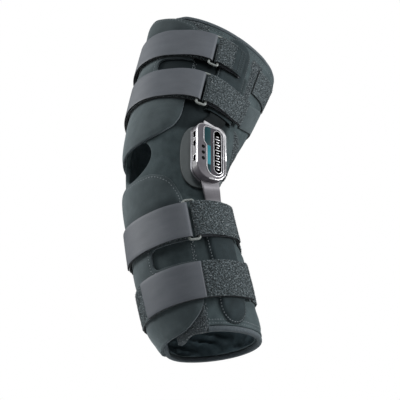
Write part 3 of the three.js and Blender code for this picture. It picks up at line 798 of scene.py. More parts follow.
def rim(name, node_name, along, turns, tuck):
    bm = bmesh.new()
    bmesh.ops.create_grid(bm, x_segments=RIM_COLUMNS, y_segments=RIM_SECTION, size=180)
    flat = places_of(bm.verts)
    flat[:, 0] = np.interp(flat[:, 0], (-180, 180), turns)
    put(bm.verts, flat)
    flat_uv(bm)
    turn = flat[:, 0]
    out, up = squarish(np.radians(flat[:, 1]))
    uneven = RIM_UNEVEN * ripple(turn, 0 * turn, *RIM_RIPPLE, along)
    lift = -WALL / 2 - RIM_SINK + (WALL / 2 + RIM_SWELL + uneven) * out
    level = along + (BINDING / 2 + RIM_TALL) * up + tuck(turn)
    put(bm.verts, wrapped(np.stack([turn, level, lift], axis=-1)))
    bmesh.ops.remove_doubles(bm, verts=bm.verts, dist=MERGE)
    bmesh.ops.holes_fill(bm, edges=[e for e in bm.edges if e.is_boundary], sides=0)
    face_outwards(bm)
    return show(bm, name, [EDGE_TAPE], "edge_tape", node_name)


top_rim = rim("top_rim_tape", "top_binding", TOP - BINDING / 2, TOP_RIM_TURNS, top_tuck)
bottom_rim = rim("bottom_rim_tape", "bottom_binding", BOTTOM + BINDING / 2, BOTTOM_RIM_TURNS, bottom_tuck)
print("rims:", top_rim.name, bottom_rim.name)

# %% [markdown]
# ## The wrap-over flaps
# Two panels are sewn to the sleeve at the inner side and wrap over the front, one above the kneecap and one
# below. Each has a deep notch between its straps, so that the two halves can be pulled to different
# tightness. Their outline is a curve of how far they reach at each height, with the notch taken out of it.

# %% The flaps' outlines
FLAP_SEAM, FLAP_LIMIT = -58, 63
FLAP_CORNER, NOTCH_EDGE, NOTCH_ROUND = 1.5, 2, 9
FLAPS = [
    {
        "name": "thigh", "notch": (100, 118.5), "notch_from": 21.5,
        "along": (14.5, 17.3, 20.5, 28, 39, 60, 100, 160, 172, 180, 182, 185, 190, 192),
        "reach": (10, 29, 39.5, 51.5, 56.5, 57.5, 57, 56, 53, 46, 34, 17, 1, -14),
    },
    {
        "name": "calf", "notch": (-115, -92.5), "notch_from": 15,
        "along": (-188.3, -187.7, -184.2, -178, -169.5, -158, -117, -91, -47, -38, -28, -21, -16),
        "reach": (-12, 16, 35, 46, 55, 61, 60, 60, 59, 57, 52, 44, 28),
    },
]


def flap_ends(flap):
    return flap["along"][0], flap["along"][-1]


def flap_outline(flap):
    along, reach = np.array(flap["along"], float), np.array(flap["reach"], float)
    low, high = flap_ends(flap)
    notch_low, notch_high = flap["notch"]

    def keep(x, y):
        level = np.clip(y, low, high)
        slope = np.interp(level, along, np.gradient(reach, along))
        right = (curve_through(along, reach, level) - x) / np.hypot(1, slope)
        body = soft_min(np.minimum(right, x - FLAP_SEAM), np.minimum(y - low, high - y), FLAP_CORNER)
        notch = soft_min(y - notch_low, notch_high - y, NOTCH_EDGE)
        notch = soft_min(notch, x - flap["notch_from"], NOTCH_ROUND)
        return np.minimum(body, -notch)

    return keep


print("flaps:", [flap["name"] for flap in FLAPS])

# %% [markdown]
# A flap is foam between two cloths, so it is about 3 mm thick, stands up between the straps, puckers a little
# and is pressed thin at its seam. Its cut edge shows the foam, and its top is painted darker as shade.

# %% Flaps
FLAP_LIFT, FLAP_THICK, FLAP_ROUND, FLAP_STEP = 0.65, 2.9, 0.7, 1.6
FLAP_STAND, FLAP_WANDER, FLAP_PUCKER, FLAP_EDGE = 0.9, 0.5, 0.5, 6
STAND_RIPPLE, PUCKER_RIPPLE = (30, 30, 2.6), (14, 14, 6.1)
SEAM_PRESS, SEAM_REACH = 0.75, 8
# Shade painted on the thigh flap's top, past the upper strap.
FLAP_TOP_SHADE, FLAP_TOP_SHADE_ALONG = 0.38, (152, 166)
FLAP_TURNS, FLAP_SPARE = np.arange(FLAP_SEAM, 60, 5), 1.05


def flap_panel(flap):
    low, high = flap_ends(flap)
    keep = flap_outline(flap)
    bm = cut_pattern((FLAP_SEAM, FLAP_LIMIT), (low, high), FLAP_STEP, keep, FLAP_THICK, FLAP_ROUND)
    dress(bm, lambda face: int(abs(face.normal.z) <= FLAT_FACE))
    x, y, z = places_of(bm.verts).T
    # Painted shade, growing towards the flap's top.
    paint_verts(bm, "painted_shade", FLAP_TOP_SHADE * smooth_step(y, *FLAP_TOP_SHADE_ALONG))
    edge = smooth_step(keep(x, y), 0, FLAP_EDGE)
    stand = between_straps(y) * edge * (FLAP_STAND + FLAP_WANDER * ripple(x, y, *STAND_RIPPLE))
    pucker = FLAP_PUCKER * np.minimum(ripple(x, y, *PUCKER_RIPPLE), 0)
    sewn = 1 - SEAM_PRESS * (1 - smooth_step(x, FLAP_SEAM, FLAP_SEAM + SEAM_REACH))
    lift = FLAP_LIFT + (z + z / FLAP_THICK * (stand + pucker)) * sewn
    put(bm.verts, wrapped(np.stack([x, y, lift], axis=-1)))
    name = flap["name"]
    panel = show(bm, f"{name}_wrap_panel", [FLAP_CLOTH, FOAM_EDGE], "flap_cloth", f"{name}_flap")
    widest = max(np.mean(mm_per_degree(FLAP_TURNS, level)) for level in flap["along"])


for flap in FLAPS:
    flap_panel(flap)

# %% [markdown]
# ## The straps
# Each strap is sewn behind the leg, where the thigh's straps slant up. It passes round the inner side and the
# front with its pile outwards, turns round a ring and lies back over itself with its smooth face outwards,
# held by its hook end. In front the lower edge stands off a little, and the lowest strap hangs.
# A strap is a strip of its real length. Its path is worked out first, as stations of turn and lift, and the
# flat strip is then laid along that path, so both runs and the fold come from one piece of webbing.

# %% The straps' courses
STRAP_THICK, STRAP_GAP = 1.6, 0.4
STRAP_STEP, FOLD_STEPS, SETTLE = 3, 14, 40
RING_WIRE, RING_SPAN = 1.6, 9.5
STRAP_KEYS = (
    "name", "level", "end", "free", "tab", "rise", "start", "ring", "slip", "hang", "plain", "tab_plain"
)
STRAP_ROWS = [
    ("thigh", "upper", 73, -60, 100, 24, -238, True, 1.4, 0, 0, 13),
    ("thigh", "lower", 71, -60, 120, 42, -236, True, 1.4, 0, 60, 0),
    ("calf", "upper", 62, -36, 124, -6, -233, True, 0, 0, 0, 0),
    ("calf", "lower", 65, -4, 124, 5, -233, False, 0, 3.5, 0, 0),
]
STRAPS = [dict(zip(STRAP_KEYS, row), along=along) for row, along in zip(STRAP_ROWS, STRAP_LEVELS)]
RINGED = [strap for strap in STRAPS if strap["ring"]]
STRAP_BED = ((-250, 0.4), (-134, 0.4), (-120, 4.4), (-66, 4.4), (-56, 3.9), (46, 3.9), (58, 4.4), (90, 4.4))
TAB_BED = ((60, 4.4), (116, 4.4), (124, 1.4))


def bed_lift(bed, turn):
    return np.interp(turn, *np.array(bed, float).T)


def fold_of(strap):
    per_degree = float(mm_per_degree(strap["end"], strap["along"]))
    half = STRAP_THICK / 2
    radius = RING_WIRE + STRAP_GAP + half if strap["ring"] else (STRAP_THICK + STRAP_GAP) / 2
    strap_turn = strap["end"] - (radius + half) / per_degree
    span = RING_SPAN if strap["ring"] else 2 * (radius + half) + STRAP_GAP
    return {
        "per_degree": per_degree,
        "radius": radius,
        "low": float(bed_lift(TAB_BED, strap["end"])) + half,
        "strap_turn": strap_turn,
        "tab_turn": strap_turn + span / per_degree,
    }


def run(start, end):
    return np.linspace(start, end, max(2, round(abs(end - start) / STRAP_STEP)))


def folded_path(bed, start, turn, end, side, fold):
    """Stations (turn, lift) from start to the fold at turn, round it, and back over itself to end."""
    out, back = run(start, turn), run(turn, end)
    lower = bed_lift(bed, out) + STRAP_THICK / 2
    angle = np.pi * np.arange(1, FOLD_STEPS) / FOLD_STEPS
    bend_turn = turn + side * fold["radius"] * np.sin(angle) / fold["per_degree"]
    bend_lift = fold["low"] + fold["radius"] * (1 - np.cos(angle))
    settled = bed_lift(bed, back) + STRAP_THICK * 1.5 + STRAP_GAP
    away = smooth_step(np.abs(back - turn) * fold["per_degree"], 0, SETTLE)
    upper = fold["low"] + 2 * fold["radius"] + away * (settled - fold["low"] - 2 * fold["radius"])
    return np.concatenate([out, bend_turn, back]), np.concatenate([lower, bend_lift, upper])


print("straps:", len(STRAPS), "with rings:", len(RINGED))

# %% [markdown]
# A path adds up the distances between its stations. A point of the flat strip is then placed by its
# distance along the path, its place across the strap and its height in the webbing.

# %% The straps' paths
HANG_TURN, STAND_OFF, RISE_POWER = -35, 1.3, 3


class Path:
    """A strap's path: its length, and where a point of the flat strip comes to lie."""

    def __init__(self, turn, lift, along, rise, hang):
        self.turn, self.lift, self.along, self.rise, self.hang = turn, lift, along, rise, hang
        per_degree = mm_per_degree(turn, along)
        steps = np.hypot(np.diff(turn) * per_degree[1:], np.diff(lift))
        self.distance = np.concatenate([[0], np.cumsum(steps)])
        self.length = self.distance[-1]
        across, up = np.gradient(turn) * per_degree, np.gradient(lift)
        size = np.hypot(across, up)
        self.normal_turn = -up / size / per_degree
        self.normal_lift = across / size

    def lay(self, flat):
        columns = (self.turn, self.lift, self.normal_turn, self.normal_lift)
        turn, lift, normal_turn, normal_lift = (np.interp(flat[:, 0], self.distance, c) for c in columns)
        turn = turn + flat[:, 2] * normal_turn
        behind = np.maximum(0, -np.cos(np.radians(turn))) ** RISE_POWER
        before = np.maximum(0, np.cos(np.radians(turn - HANG_TURN))) ** 2
        level = self.along + self.rise * behind - self.hang * before
        lift = lift + flat[:, 2] * normal_lift + STAND_OFF * before * (0.5 - flat[:, 1] / STRAP_WIDTH)
        return on_leg(turn, level + flat[:, 1], lift) * MM


for strap in STRAPS:
    fold = strap["fold"] = fold_of(strap)
    course = strap["along"], strap["rise"], strap["hang"]
    stations = folded_path(STRAP_BED, strap["start"], fold["strap_turn"], strap["free"], 1, fold)
    strap["path"] = Path(*stations, *course)
    stations = folded_path(TAB_BED, strap["tab"], fold["tab_turn"], strap["tab"], -1, fold)
    strap["tab_path"] = Path(*stations, *course)
    lengths = strap["path"].length, strap["tab_path"].length
    print(strap["name"], strap["level"], "strap %.0f mm, tab %.0f mm" % lengths)

# %% [markdown]
# A strip is a grid whose columns are moved to the path's stations, so that it is fine at the fold and coarse
# elsewhere. Its finishes are the smooth face below, the pile above and the cut edges, painted near black as
# shade. One strap starts with a plain length that has no pile, and one tab ends with one.

# %% Straps and tabs
STRIP_ROWS, STRIP_ROUND = 10, 0.45
STRIP_WANDER, WANDER_RIPPLE = 0.5, (35, 35)


def strip(path, plain):
    """A strip laid along its path. Its upper face has pile, except on one plain length."""
    bm = bmesh.new()
    columns = len(path.distance) - 1
    bmesh.ops.create_grid(bm, x_segments=columns, y_segments=STRIP_ROWS, size=0.5)
    flat = places_of(bm.verts)
    flat[:, 0] = path.distance[np.round((flat[:, 0] + 0.5) * columns).astype(int)]
    flat[:, 1] *= STRAP_WIDTH
    put(bm.verts, flat)
    thicken(bm, STRAP_THICK, STRIP_ROUND)

    def face_finish(face):
        # Cut edges take the near-black painted shade; the face below is smooth and the face above has pile.
        if abs(face.normal.z) < FLAT_FACE:
            return 2
        if face.normal.z < 0:
            return 0
        return 3 if plain[0] < face.calc_center_median().x < plain[1] else 1

    dress(bm, face_finish)
    flat = places_of(bm.verts)
    flat[:, 2] -= STRAP_THICK / 2
    flat[:, 1] += STRIP_WANDER * ripple(flat[:, 0], 0 * flat[:, 1], *WANDER_RIPPLE, path.along)
    put(bm.verts, path.lay(flat))
    return bm


for strap in STRAPS:
    name, level = strap["name"], strap["level"]
    path, tab_path = strap["path"], strap["tab_path"]
    band = show(
        strip(path, (0, strap["plain"])), f"{name}_band_{level}",
        [WEBBING, PILE, STRAP_EDGE_SHADE, FLAP_CLOTH], "strap_webbing", f"{name}_strap_{level}",
    )
    tab = show(
        strip(tab_path, (tab_path.length - strap["tab_plain"], tab_path.length)), f"{name}_tab_{level}",
        [WEBBING, PILE, STRAP_EDGE_SHADE, POCKET_CLOTH], "loop_pile", f"{name}_anchor_{level}",
    )
print("straps and tabs:", 2 * len(STRAPS))

# %% [markdown]
# ## The strap rings
# A ring is a plastic wire bent to a rounded rectangle, wide enough for the strap. It is modelled as it is
# bent: a round section is extruded along each side and spun a quarter turn at each corner, while flat, and
# then it is wrapped on the leg so that it follows the curve.

# %% Rings
RING_CORNER, RING_SIDE_ROOM, RING_ROUND = 2.4, 1.0, 1.35
RING_SECTION, RING_SIDE_STEPS, RING_CORNER_STEPS = 12, 8, 5
RING_HALF_LENGTH = STRAP_WIDTH / 2 + RING_SIDE_ROOM + RING_WIRE
RING_MERGE = 0.05


def only(kind, geom):
    return [g for g in geom if isinstance(g, kind)]


def ring_wire(half_span, half_length):
    bm = bmesh.new()
    bmesh.ops.create_circle(bm, segments=RING_SECTION, radius=RING_ROUND, cap_ends=False)
    bmesh.ops.rotate(bm, matrix=Matrix.Rotation(math.pi / 2, 3, "X"), verts=bm.verts)
    bmesh.ops.translate(bm, vec=(half_span, RING_CORNER - half_length, 0), verts=bm.verts)
    front = bm.edges[:]
    heading = Vector((0, 1, 0))
    corner = Vector((half_span - RING_CORNER, half_length - RING_CORNER, 0))
    for length in (half_length, half_span, half_length, half_span):
        side = 2 * (length - RING_CORNER)
        for _ in range(RING_SIDE_STEPS):
            made = bmesh.ops.extrude_edge_only(bm, edges=front)["geom"]
            verts = only(bmesh.types.BMVert, made)
            bmesh.ops.translate(bm, vec=heading * side / RING_SIDE_STEPS, verts=verts)
            front = only(bmesh.types.BMEdge, made)
        spun = bmesh.ops.spin(
            bm, geom=front, cent=corner, axis=(0, 0, 1), angle=math.pi / 2, steps=RING_CORNER_STEPS
        )
        front = only(bmesh.types.BMEdge, spun["geom_last"])
        heading = Vector((-heading.y, heading.x, 0))
        corner = Vector((
            math.copysign(half_span - RING_CORNER, -corner.y),
            math.copysign(half_length - RING_CORNER, corner.x),
            0,
        ))
    bmesh.ops.remove_doubles(bm, verts=bm.verts, dist=RING_MERGE)
    face_outwards(bm)
    return bm


for strap in RINGED:
    fold, name, level = strap["fold"], strap["name"], strap["level"]
    bm = ring_wire(RING_SPAN / 2, RING_HALF_LENGTH)
    across, along, up = places_of(bm.verts).T
    turn = fold["strap_turn"] + (RING_SPAN / 2 + across) / fold["per_degree"]
    lift = fold["low"] + fold["radius"] + up
    put(bm.verts, on_leg(turn, strap["along"] - strap["slip"] + along, lift) * MM)
    ring = show(bm, f"{name}_wire_{level}", [RING_PLASTIC], "ring_plastic", f"{name}_ring_{level}")
    print(ring.name, "faces", len(ring.data.polygons))

# %% [markdown]
# ## The hinge uprights and their pockets
# A metal upright runs up and another down from each hinge, to spread its push along the leg. The lower ones
# are bare. The upper ones have a short bright foot at the hinge and then a dark sheath.
# A bar is a flat strip with round ends. At the hinge it lies in the hinge's plane, and then it comes down to
# follow the leg, so its places are blended from one to the other.

# %% Uprights
BAR_WIDTH, BAR_THICK, BAR_LIFT, BAR_BACK = 20.8, 2, 0.5, 4
BAR_ROUND, BAR_EDGE, BAR_STEP = 7, 0.45, 1.5
HINGE_DROP, HINGE_FORWARD = -1.5, -2.7
BAR_FACE, BAR_SETTLE, BARE_TO = 65.5, (39, 53), 38
UPRIGHTS = [
    {"level": "upper", "way": 1, "from": 8, "to": 160, "finishes": [BRIGHT_TRIM_AND_HIGHLIGHT, BAR_SHEATH]},
    {"level": "lower", "way": -1, "from": 18, "to": 160, "finishes": [BAR_METAL, BAR_METAL]},
]
SIDES = (("outer", 1), ("inner", -1))


def mirrored(places, side):
    return places * np.array((side, 1, 1))


def upright(bar, side):
    low, high, half = bar["from"], bar["to"], BAR_WIDTH / 2

    def keep(x, y):
        return soft_min(half - np.abs(x), np.minimum(y - low, high - y), BAR_ROUND)

    bm = cut_pattern((-half, half), (low, high), BAR_STEP, keep, BAR_THICK, BAR_EDGE)
    dress(bm, lambda face: int(face.calc_center_median().y > BARE_TO))
    across, away, up = places_of(bm.verts).T
    along = bar["way"] * away
    y, z, lean = middle_line(along)
    hinge_y = y + HINGE_FORWARD + across * np.cos(lean)
    at_hinge = np.stack([BAR_FACE + up, hinge_y, z - across * np.sin(lean)], axis=-1)
    turn = 90 + (across + BAR_BACK) / mm_per_degree(90, along)
    on_sleeve = on_leg(turn, along, BAR_LIFT + up)
    settled = smooth_step(away, *BAR_SETTLE)[:, None]
    put(bm.verts, mirrored(at_hinge + settled * (on_sleeve - at_hinge), side) * MM)
    face_outwards(bm)
    return bm


for place, side in SIDES:
    for bar in UPRIGHTS:
        name = f"{bar['level']}_bar_{place}"
        show(upright(bar, side), name, bar["finishes"], "bar_metal", f"upright_{bar['level']}_{place}")
print("uprights:", len(SIDES) * len(UPRIGHTS))

# %% [markdown]
# Each bar slides into a cloth pocket. A pocket is cut as a long tongue with a round tip. It lies flat where
# it is sewn, along both edges and round its tip, and arches over the bar.

# %% Pockets
POCKET_TURN, POCKET_HALF, POCKET_SEAM = 95, 18, 5
POCKET_UNDER, POCKET_THICK, POCKET_TIP = 3.35, 0.7, 20
POCKET_EDGE, POCKET_STEP = 0.2, 1.6
POCKETS = [
    {"level": "upper", "mouth": 57, "tip": 178},
    {"level": "lower", "mouth": -62, "tip": -182},
]


def pocket_outline(pocket):
    def keep(x, y):
        left = np.clip(np.abs(pocket["tip"] - y), 0, POCKET_TIP)
        return (1 - np.hypot(x / POCKET_HALF, 1 - left / POCKET_TIP)) * POCKET_HALF

    return keep


def pocket_places(pocket, flat, side):
    """Where points of a flat pocket lie: it is sewn down along its edge and arches over its bar."""
    across, along, up = flat.T
    arch = smooth_step(pocket_outline(pocket)(across, along), 0, POCKET_SEAM)
    under = GAP + (POCKET_UNDER - GAP) * arch
    turn = POCKET_TURN + across / mm_per_degree(POCKET_TURN, along)
    return on_leg(side * turn, along, under + up) * MM


def pocket_panel(pocket, side):
    width, height = (-POCKET_HALF, POCKET_HALF), sorted((pocket["mouth"], pocket["tip"]))
    bm = cut_pattern(width, height, POCKET_STEP, pocket_outline(pocket), POCKET_THICK, POCKET_EDGE)
    put(bm.verts, pocket_places(pocket, places_of(bm.verts), side))
    face_outwards(bm)
    return bm


for place, side in SIDES:
    for pocket in POCKETS:
        level = pocket["level"]
        panel = show(
            pocket_panel(pocket, side), f"{level}_sewn_pocket_{place}", [POCKET_CLOTH], "pocket_cloth",
            f"pocket_{level}_{place}",
        )
        print(panel.name, "area %.4f m2" % cloth_area(panel))

# %% [markdown]
# ## The hinge pads
# Between each hinge and the knee is a moulded rubber pad. It is cut to a rounded oblong, thins towards its
# edge, follows the leg, and is pressed flat where the hinge's plate lies on it. Its side faces are painted
# near black as a shadow round it.

# %% Pads
PAD_HALF_WIDTH, PAD_HALF_HEIGHT, PAD_ALONG, PAD_BACK = 26, 35, -2, 1.5
PAD_LIFT, PAD_THICK, PAD_ROUND, PAD_STEP = 0.7, 4.1, 0.9, 1.4
PAD_EDGE_DROP, PAD_LIP, PAD_LIP_AT, PAD_LIP_WIDTH = 2.0, 0.5, 0.86, 0.03
PLATE_FACE = 63.2


def pad_size(x, y):
    """0 in the middle of the pad, 1 on its rounded outline."""
    return np.cbrt(np.abs(x / PAD_HALF_WIDTH) ** 3 + np.abs(y / PAD_HALF_HEIGHT) ** 3)


def pad_outline(x, y):
    return (1 - pad_size(x, y)) * PAD_HALF_WIDTH


def pad(side):
    width, height = (-PAD_HALF_WIDTH, PAD_HALF_WIDTH), (-PAD_HALF_HEIGHT, PAD_HALF_HEIGHT)
    bm = cut_pattern(width, height, PAD_STEP, pad_outline, PAD_THICK, PAD_ROUND)
    # The side faces take the painted shadow.
    dress(bm, lambda face: int(abs(face.normal.z) <= FACE_TILT))
    across, along, up = places_of(bm.verts).T
    size = pad_size(across, along)
    drop = PAD_EDGE_DROP * np.clip(size, 0, 1) ** 4
    lip = PAD_LIP * groove(size, PAD_LIP_AT, PAD_LIP_WIDTH)
    lift = PAD_LIFT + up * (1 - (drop + lip) / PAD_THICK)
    turn = 90 + (HINGE_FORWARD + PAD_BACK + across) / mm_per_degree(90, PAD_ALONG)
    places = on_leg(turn, PAD_ALONG + along, lift)
    places[:, 0] = np.minimum(places[:, 0], PLATE_FACE - 2 * GAP)
    put(bm.verts, mirrored(places, side) * MM)
    face_outwards(bm)
    return bm


for place, side in SIDES:
    finishes = [PAD_RUBBER, PAD_EDGE_SHADE]
    cushion = show(pad(side), f"moulded_pad_{place}", finishes, "pad_rubber", f"hinge_pad_{place}")
print("pads:", len(SIDES))

# %% [markdown]
# ## The hinge plate, cover and inlay
# A hinge is a bright plate, a moulded cover with a raised rim whose edge is painted bright as a highlight,
# and a flat inlay in its face.
# All three have the same tall outline: a rectangle whose corners are bevelled as points, so that they come
# out as arcs. The face is then extruded, its edge bevelled and its middle inset.

# %% Outline tools
ARC_STEPS, EDGE_STEPS = 9, 3
TOP_ROUND, BOTTOM_ROUND = 9, 15
HINGE_SHARP = 35


def outline(corners, rounds):
    """A flat face through a few corners, each rounded by its own radius."""
    bm = bmesh.new()
    verts = [bm.verts.new((x, y, 0)) for x, y in corners]
    bm.faces.new(verts)
    for vert, radius in zip(verts, rounds):
        bevelled(bm, [vert], radius, ARC_STEPS, "VERTICES")
    return bm


def box_corners(middle, half_width, half_height):
    x, y = middle
    return [(x + a * half_width, y + b * half_height) for a, b in ((-1, 1), (-1, -1), (1, -1), (1, 1))]


def tall_outline(half_width, half_height, inset=0):
    top, bottom = TOP_ROUND - inset, BOTTOM_ROUND - inset
    return outline(box_corners((0, 0), half_width - inset, half_height - inset), (top, bottom, bottom, top))


def top_face(bm):
    return max(bm.faces, key=lambda f: (round(f.calc_center_median().z, 3), f.calc_area()))


def raise_face(bm, low, high, edge, edge_index=0):
    """Extrudes a flat outline from low to high and rounds its upper edge."""
    made = bmesh.ops.extrude_face_region(bm, geom=bm.faces[:])["geom"]
    bmesh.ops.translate(bm, vec=(0, 0, low), verts=bm.verts)
    bmesh.ops.translate(bm, vec=(0, 0, high - low), verts=only(bmesh.types.BMVert, made))
    face_outwards(bm)
    for face in bevelled(bm, top_face(bm).edges[:], edge, EDGE_STEPS):
        face.material_index = edge_index
    return bm


def sink_face(bm, inset, step, depth):
    """Insets the top face, and sinks its middle behind a narrow step."""
    for width in (inset, step):
        bmesh.ops.inset_region(bm, faces=[top_face(bm)], thickness=width)
    ground = top_face(bm)
    bmesh.ops.translate(bm, vec=(0, 0, -depth), verts=ground.verts)
    return ground


def place_hinge(bm, side):
    """From the hinge's own drawing (x to the back, y up, z outwards) to the support's frame."""
    flat_uv(bm)
    x, y, z = places_of(bm.verts).T
    placed = np.stack([z, x + HINGE_FORWARD, y + HINGE_DROP], axis=-1)
    put(bm.verts, mirrored(placed, side) * MM)
    if side < 0:
        bmesh.ops.reverse_faces(bm, faces=bm.faces[:])
    return bm


def hinge_part(make, name, finishes, slot, node_name, sharp):
    """Shows one part of the hinge on both sides of the knee."""
    for place, side in SIDES:
        part = place_hinge(make(), side)
        show(part, f"{name}_{place}", finishes, slot, f"{node_name}_{place}", sharp=sharp)
    print(name, "made for", len(SIDES), "sides")


print("an arc has %d steps" % ARC_STEPS)

# %% [markdown]
# The plate is the plain tall outline, raised from the pad and rounded at its edge.

# %% Plates
PLATE_THICK, PLATE_EDGE = 2, 0.6
PLATE_HALF_WIDTH, PLATE_HALF_HEIGHT, PLATE_SHARP = 18.7, 33.4, 40


def plate():
    shape = tall_outline(PLATE_HALF_WIDTH, PLATE_HALF_HEIGHT)
    bm = raise_face(shape, PLATE_FACE, PLATE_FACE + PLATE_THICK, PLATE_EDGE)
    face_outwards(bm)
    return bm


hinge_part(plate, "bright_plate", [BRIGHT_STEEL], "bright_steel", "hinge_plate", PLATE_SHARP)

# %% [markdown]
# The cover's wall has three slots on each side. The wall is cut along their edges, and the faces between the
# cuts are inset, bright at the brim and painted black in their depth as shade.

# %% Covers
COVER_HALF_WIDTH, COVER_HALF_HEIGHT, COVER_DEPTH = 18.2, 32.6, 9.5
COVER_BACK, COVER_RIM, COVER_RECESS = BAR_FACE, 2.6, 1.2
COVER_FACE = COVER_BACK + COVER_DEPTH
# The cover rim's bevel is painted bright as a highlight above a slanting line, so not at the lower front
# corner.
COVER_EDGE, COVER_STEP, HIGHLIGHT_ABOVE = 0.9, 0.1, -34
SLOT_LEVELS, SLOT_HEIGHT = (18.5, 7.5, -10.5), 8
SLOT_FROM, SLOT_TO = COVER_BACK + 1.6, COVER_BACK + 6.8
SLOT_BRIM, SLOT_WALL, SLOT_DEPTH = 0.4, 0.05, 2.0
SIDEWAYS = 0.99


def is_slot(face):
    middle = face.calc_center_median()
    level = any(abs(middle.y - at) < SLOT_HEIGHT / 2 for at in SLOT_LEVELS)
    return level and abs(face.normal.x) > SIDEWAYS and SLOT_FROM < middle.z < SLOT_TO


def cut(bm, geom, place, normal):
    bmesh.ops.bisect_plane(bm, geom=geom, dist=1e-4, plane_co=place, plane_no=normal)


def cover():
    bm = tall_outline(COVER_HALF_WIDTH, COVER_HALF_HEIGHT)
    raise_face(bm, COVER_BACK, COVER_FACE, COVER_EDGE, edge_index=1)
    # Painted highlight on the bevel, taken off below a slanting line at the lower front corner.
    for face in bm.faces:
        middle = face.calc_center_median()
        if middle.y < HIGHLIGHT_ABOVE - middle.x:
            face.material_index = 0
    sink_face(bm, COVER_RIM - COVER_EDGE, COVER_STEP, COVER_RECESS)
    for height in (SLOT_FROM, SLOT_TO):
        cut(bm, bm.verts[:] + bm.edges[:] + bm.faces[:], (0, 0, height), (0, 0, 1))
    for level in SLOT_LEVELS:
        for edge in (level - SLOT_HEIGHT / 2, level + SLOT_HEIGHT / 2):
            walls = [f for f in bm.faces if abs(f.normal.x) > SIDEWAYS]
            around = {e for f in walls for e in f.edges} | {v for f in walls for v in f.verts} | set(walls)
            cut(bm, list(around), (0, edge, 0), (0, 1, 0))
    slots = [f for f in bm.faces if is_slot(f)]
    for face in bmesh.ops.inset_individual(bm, faces=slots, thickness=SLOT_BRIM, depth=0)["faces"]:
        face.material_index = 1
    # The slots' depths are painted black as shade.
    made = bmesh.ops.inset_individual(bm, faces=slots, thickness=SLOT_WALL, depth=-SLOT_DEPTH)
    for face in made["faces"] + slots:
        face.material_index = 2
    return bm


COVER_FINISHES = [COVER_PLASTIC, BRIGHT_TRIM_AND_HIGHLIGHT, BLACK_AND_SLOT_SHADE]
hinge_part(cover, "cover_shell", COVER_FINISHES, "cover_plastic", "hinge_cover", HINGE_SHARP)

# %% [markdown]
# The inlay is a grey plate with a bright bead round a darker panel. The bead steps back to leave room for
# three dots. On the panel are a teal stripe and a plain black oval with grip ribs. There is no lettering.
# A bright strip along its top and back edge is a painted highlight of the cover's rim.
# Each part is drawn as an outline and raised from a little below the cover's face to a little above it.

# %% The inlay's drawing
INLAY_FINISHES = [COVER_PLASTIC, BRIGHT_TRIM_AND_HIGHLIGHT, INLAY_PANEL, INLAY_DEEP, INLAY_TEAL, BLACK_AND_SLOT_SHADE]
GREY, BRIGHT, PANEL, DEEP, TEAL, BLACK = range(len(INLAY_FINISHES))
INLAY_INSET = COVER_RIM + 0.1
BEAD_CORNERS = [(-10.3, 30.2), (-10.3, 10.3), (-6.7, 6.5), (-6.7, -28.6), (14.6, -28.6), (14.6, 30.2)]
BEAD_ROUNDS, BEAD_WIDTH = (4.5, 1.5, 1.5, 10, 10, 6), 0.95
DOT_PLACE, DOT_LEVELS, DOT_RADIUS, DOT_SIDES = -10.4, (3.6, -3.4, -10.4), 2.1, 16
OVAL_MIDDLE, OVAL_HALF_WIDTH, OVAL_HALF_HEIGHT, OVAL_BEAD = (7.1, 1.7), 5.0, 26, 0.7
OVAL_ROUND = OVAL_HALF_WIDTH - 0.02
RIB_PITCH, RIB_HALF_WIDTH, RIB_HALF_HEIGHT, RIB_SHORT = 3.3, 2.9, 0.55, 0.6
RIB_ROUND = RIB_HALF_HEIGHT * 0.9
STRIPES = [  # finish, corners and their roundings
    (DEEP, [(-9, 28.8), (-9, 10.8), (-5.5, 7.2), (-1.4, 7.2), (-1.4, 28.8)], (3.3, 0.8, 0.3, 0.3, 0.3)),
    (TEAL, [(-5.4, 6.8), (-5.4, -16), (-1.6, -16), (-1.6, 6.8)], (0.3, 0.3, 0.3, 0.3)),
    (DEEP, [(-5.4, -16.3), (-5.4, -21), (-2.6, -25), (-1.6, -25), (-1.6, -16.3)], (0.3, 3, 1, 0.3, 0.3)),
]
# A bright strip along the top and back of the inlay: a painted highlight of the cover's rim.
HIGHLIGHT_STRIP_CORNERS = [
    (-3, 31.2), (8, 30.4), (15.6, 23.5), (16.2, -6), (18, -6), (18, 25.5), (9.5, 32.4), (-3, 32.4)
]
HIGHLIGHT_STRIP_ROUNDS = (0.3, 4, 4, 0.3, 0.3, 1.5, 1.5, 0.3)
RISES = {  # low, high and edge rounding, from the cover's face
    "base": (GAP - COVER_RECESS, -0.2, 0.15),
    "bead": (-0.3, 0.35, 0.15),
    "trim": (-0.6, 0.2, 0.15),
    "stripe": (-0.1, 0.08, 0.06),
    "dot": (-0.25, -0.1, 0.08),
    "oval": (-0.1, 0.35, 0.15),
    "rib": (-0.05, 0.2, 0.1),
}
FRAME_STEP, FRAME_SINK = 0.1, 0.35
print("stripes:", len(STRIPES), "dots:", len(DOT_LEVELS))

# %% [markdown]
# A framed part is raised with a bright edge and its middle is sunk. The parts of an inlay are then gathered
# in one mesh.

# %% Inlays
def raised(shape, part):
    low, high, edge = RISES[part]
    return raise_face(shape, COVER_FACE + low, COVER_FACE + high, edge)


def framed(shape, part, width, floor_index):
    """A raised outline with a bright edge of the given width and a lower floor in another finish."""
    bm = raised(shape, part)
    dress(bm, lambda face: BRIGHT)
    sink_face(bm, width - RISES[part][2] - FRAME_STEP, FRAME_STEP, FRAME_SINK).material_index = floor_index
    return bm


def gather(target, part, index=None):
    """Adds one modelled part to a piece, with one finish if an index is given."""
    if index is not None:
        dress(part, lambda face: index)
    mesh = bpy.data.meshes.new("part")
    part.to_mesh(mesh)
    part.free()
    target.from_mesh(mesh)
    bpy.data.meshes.remove(mesh)


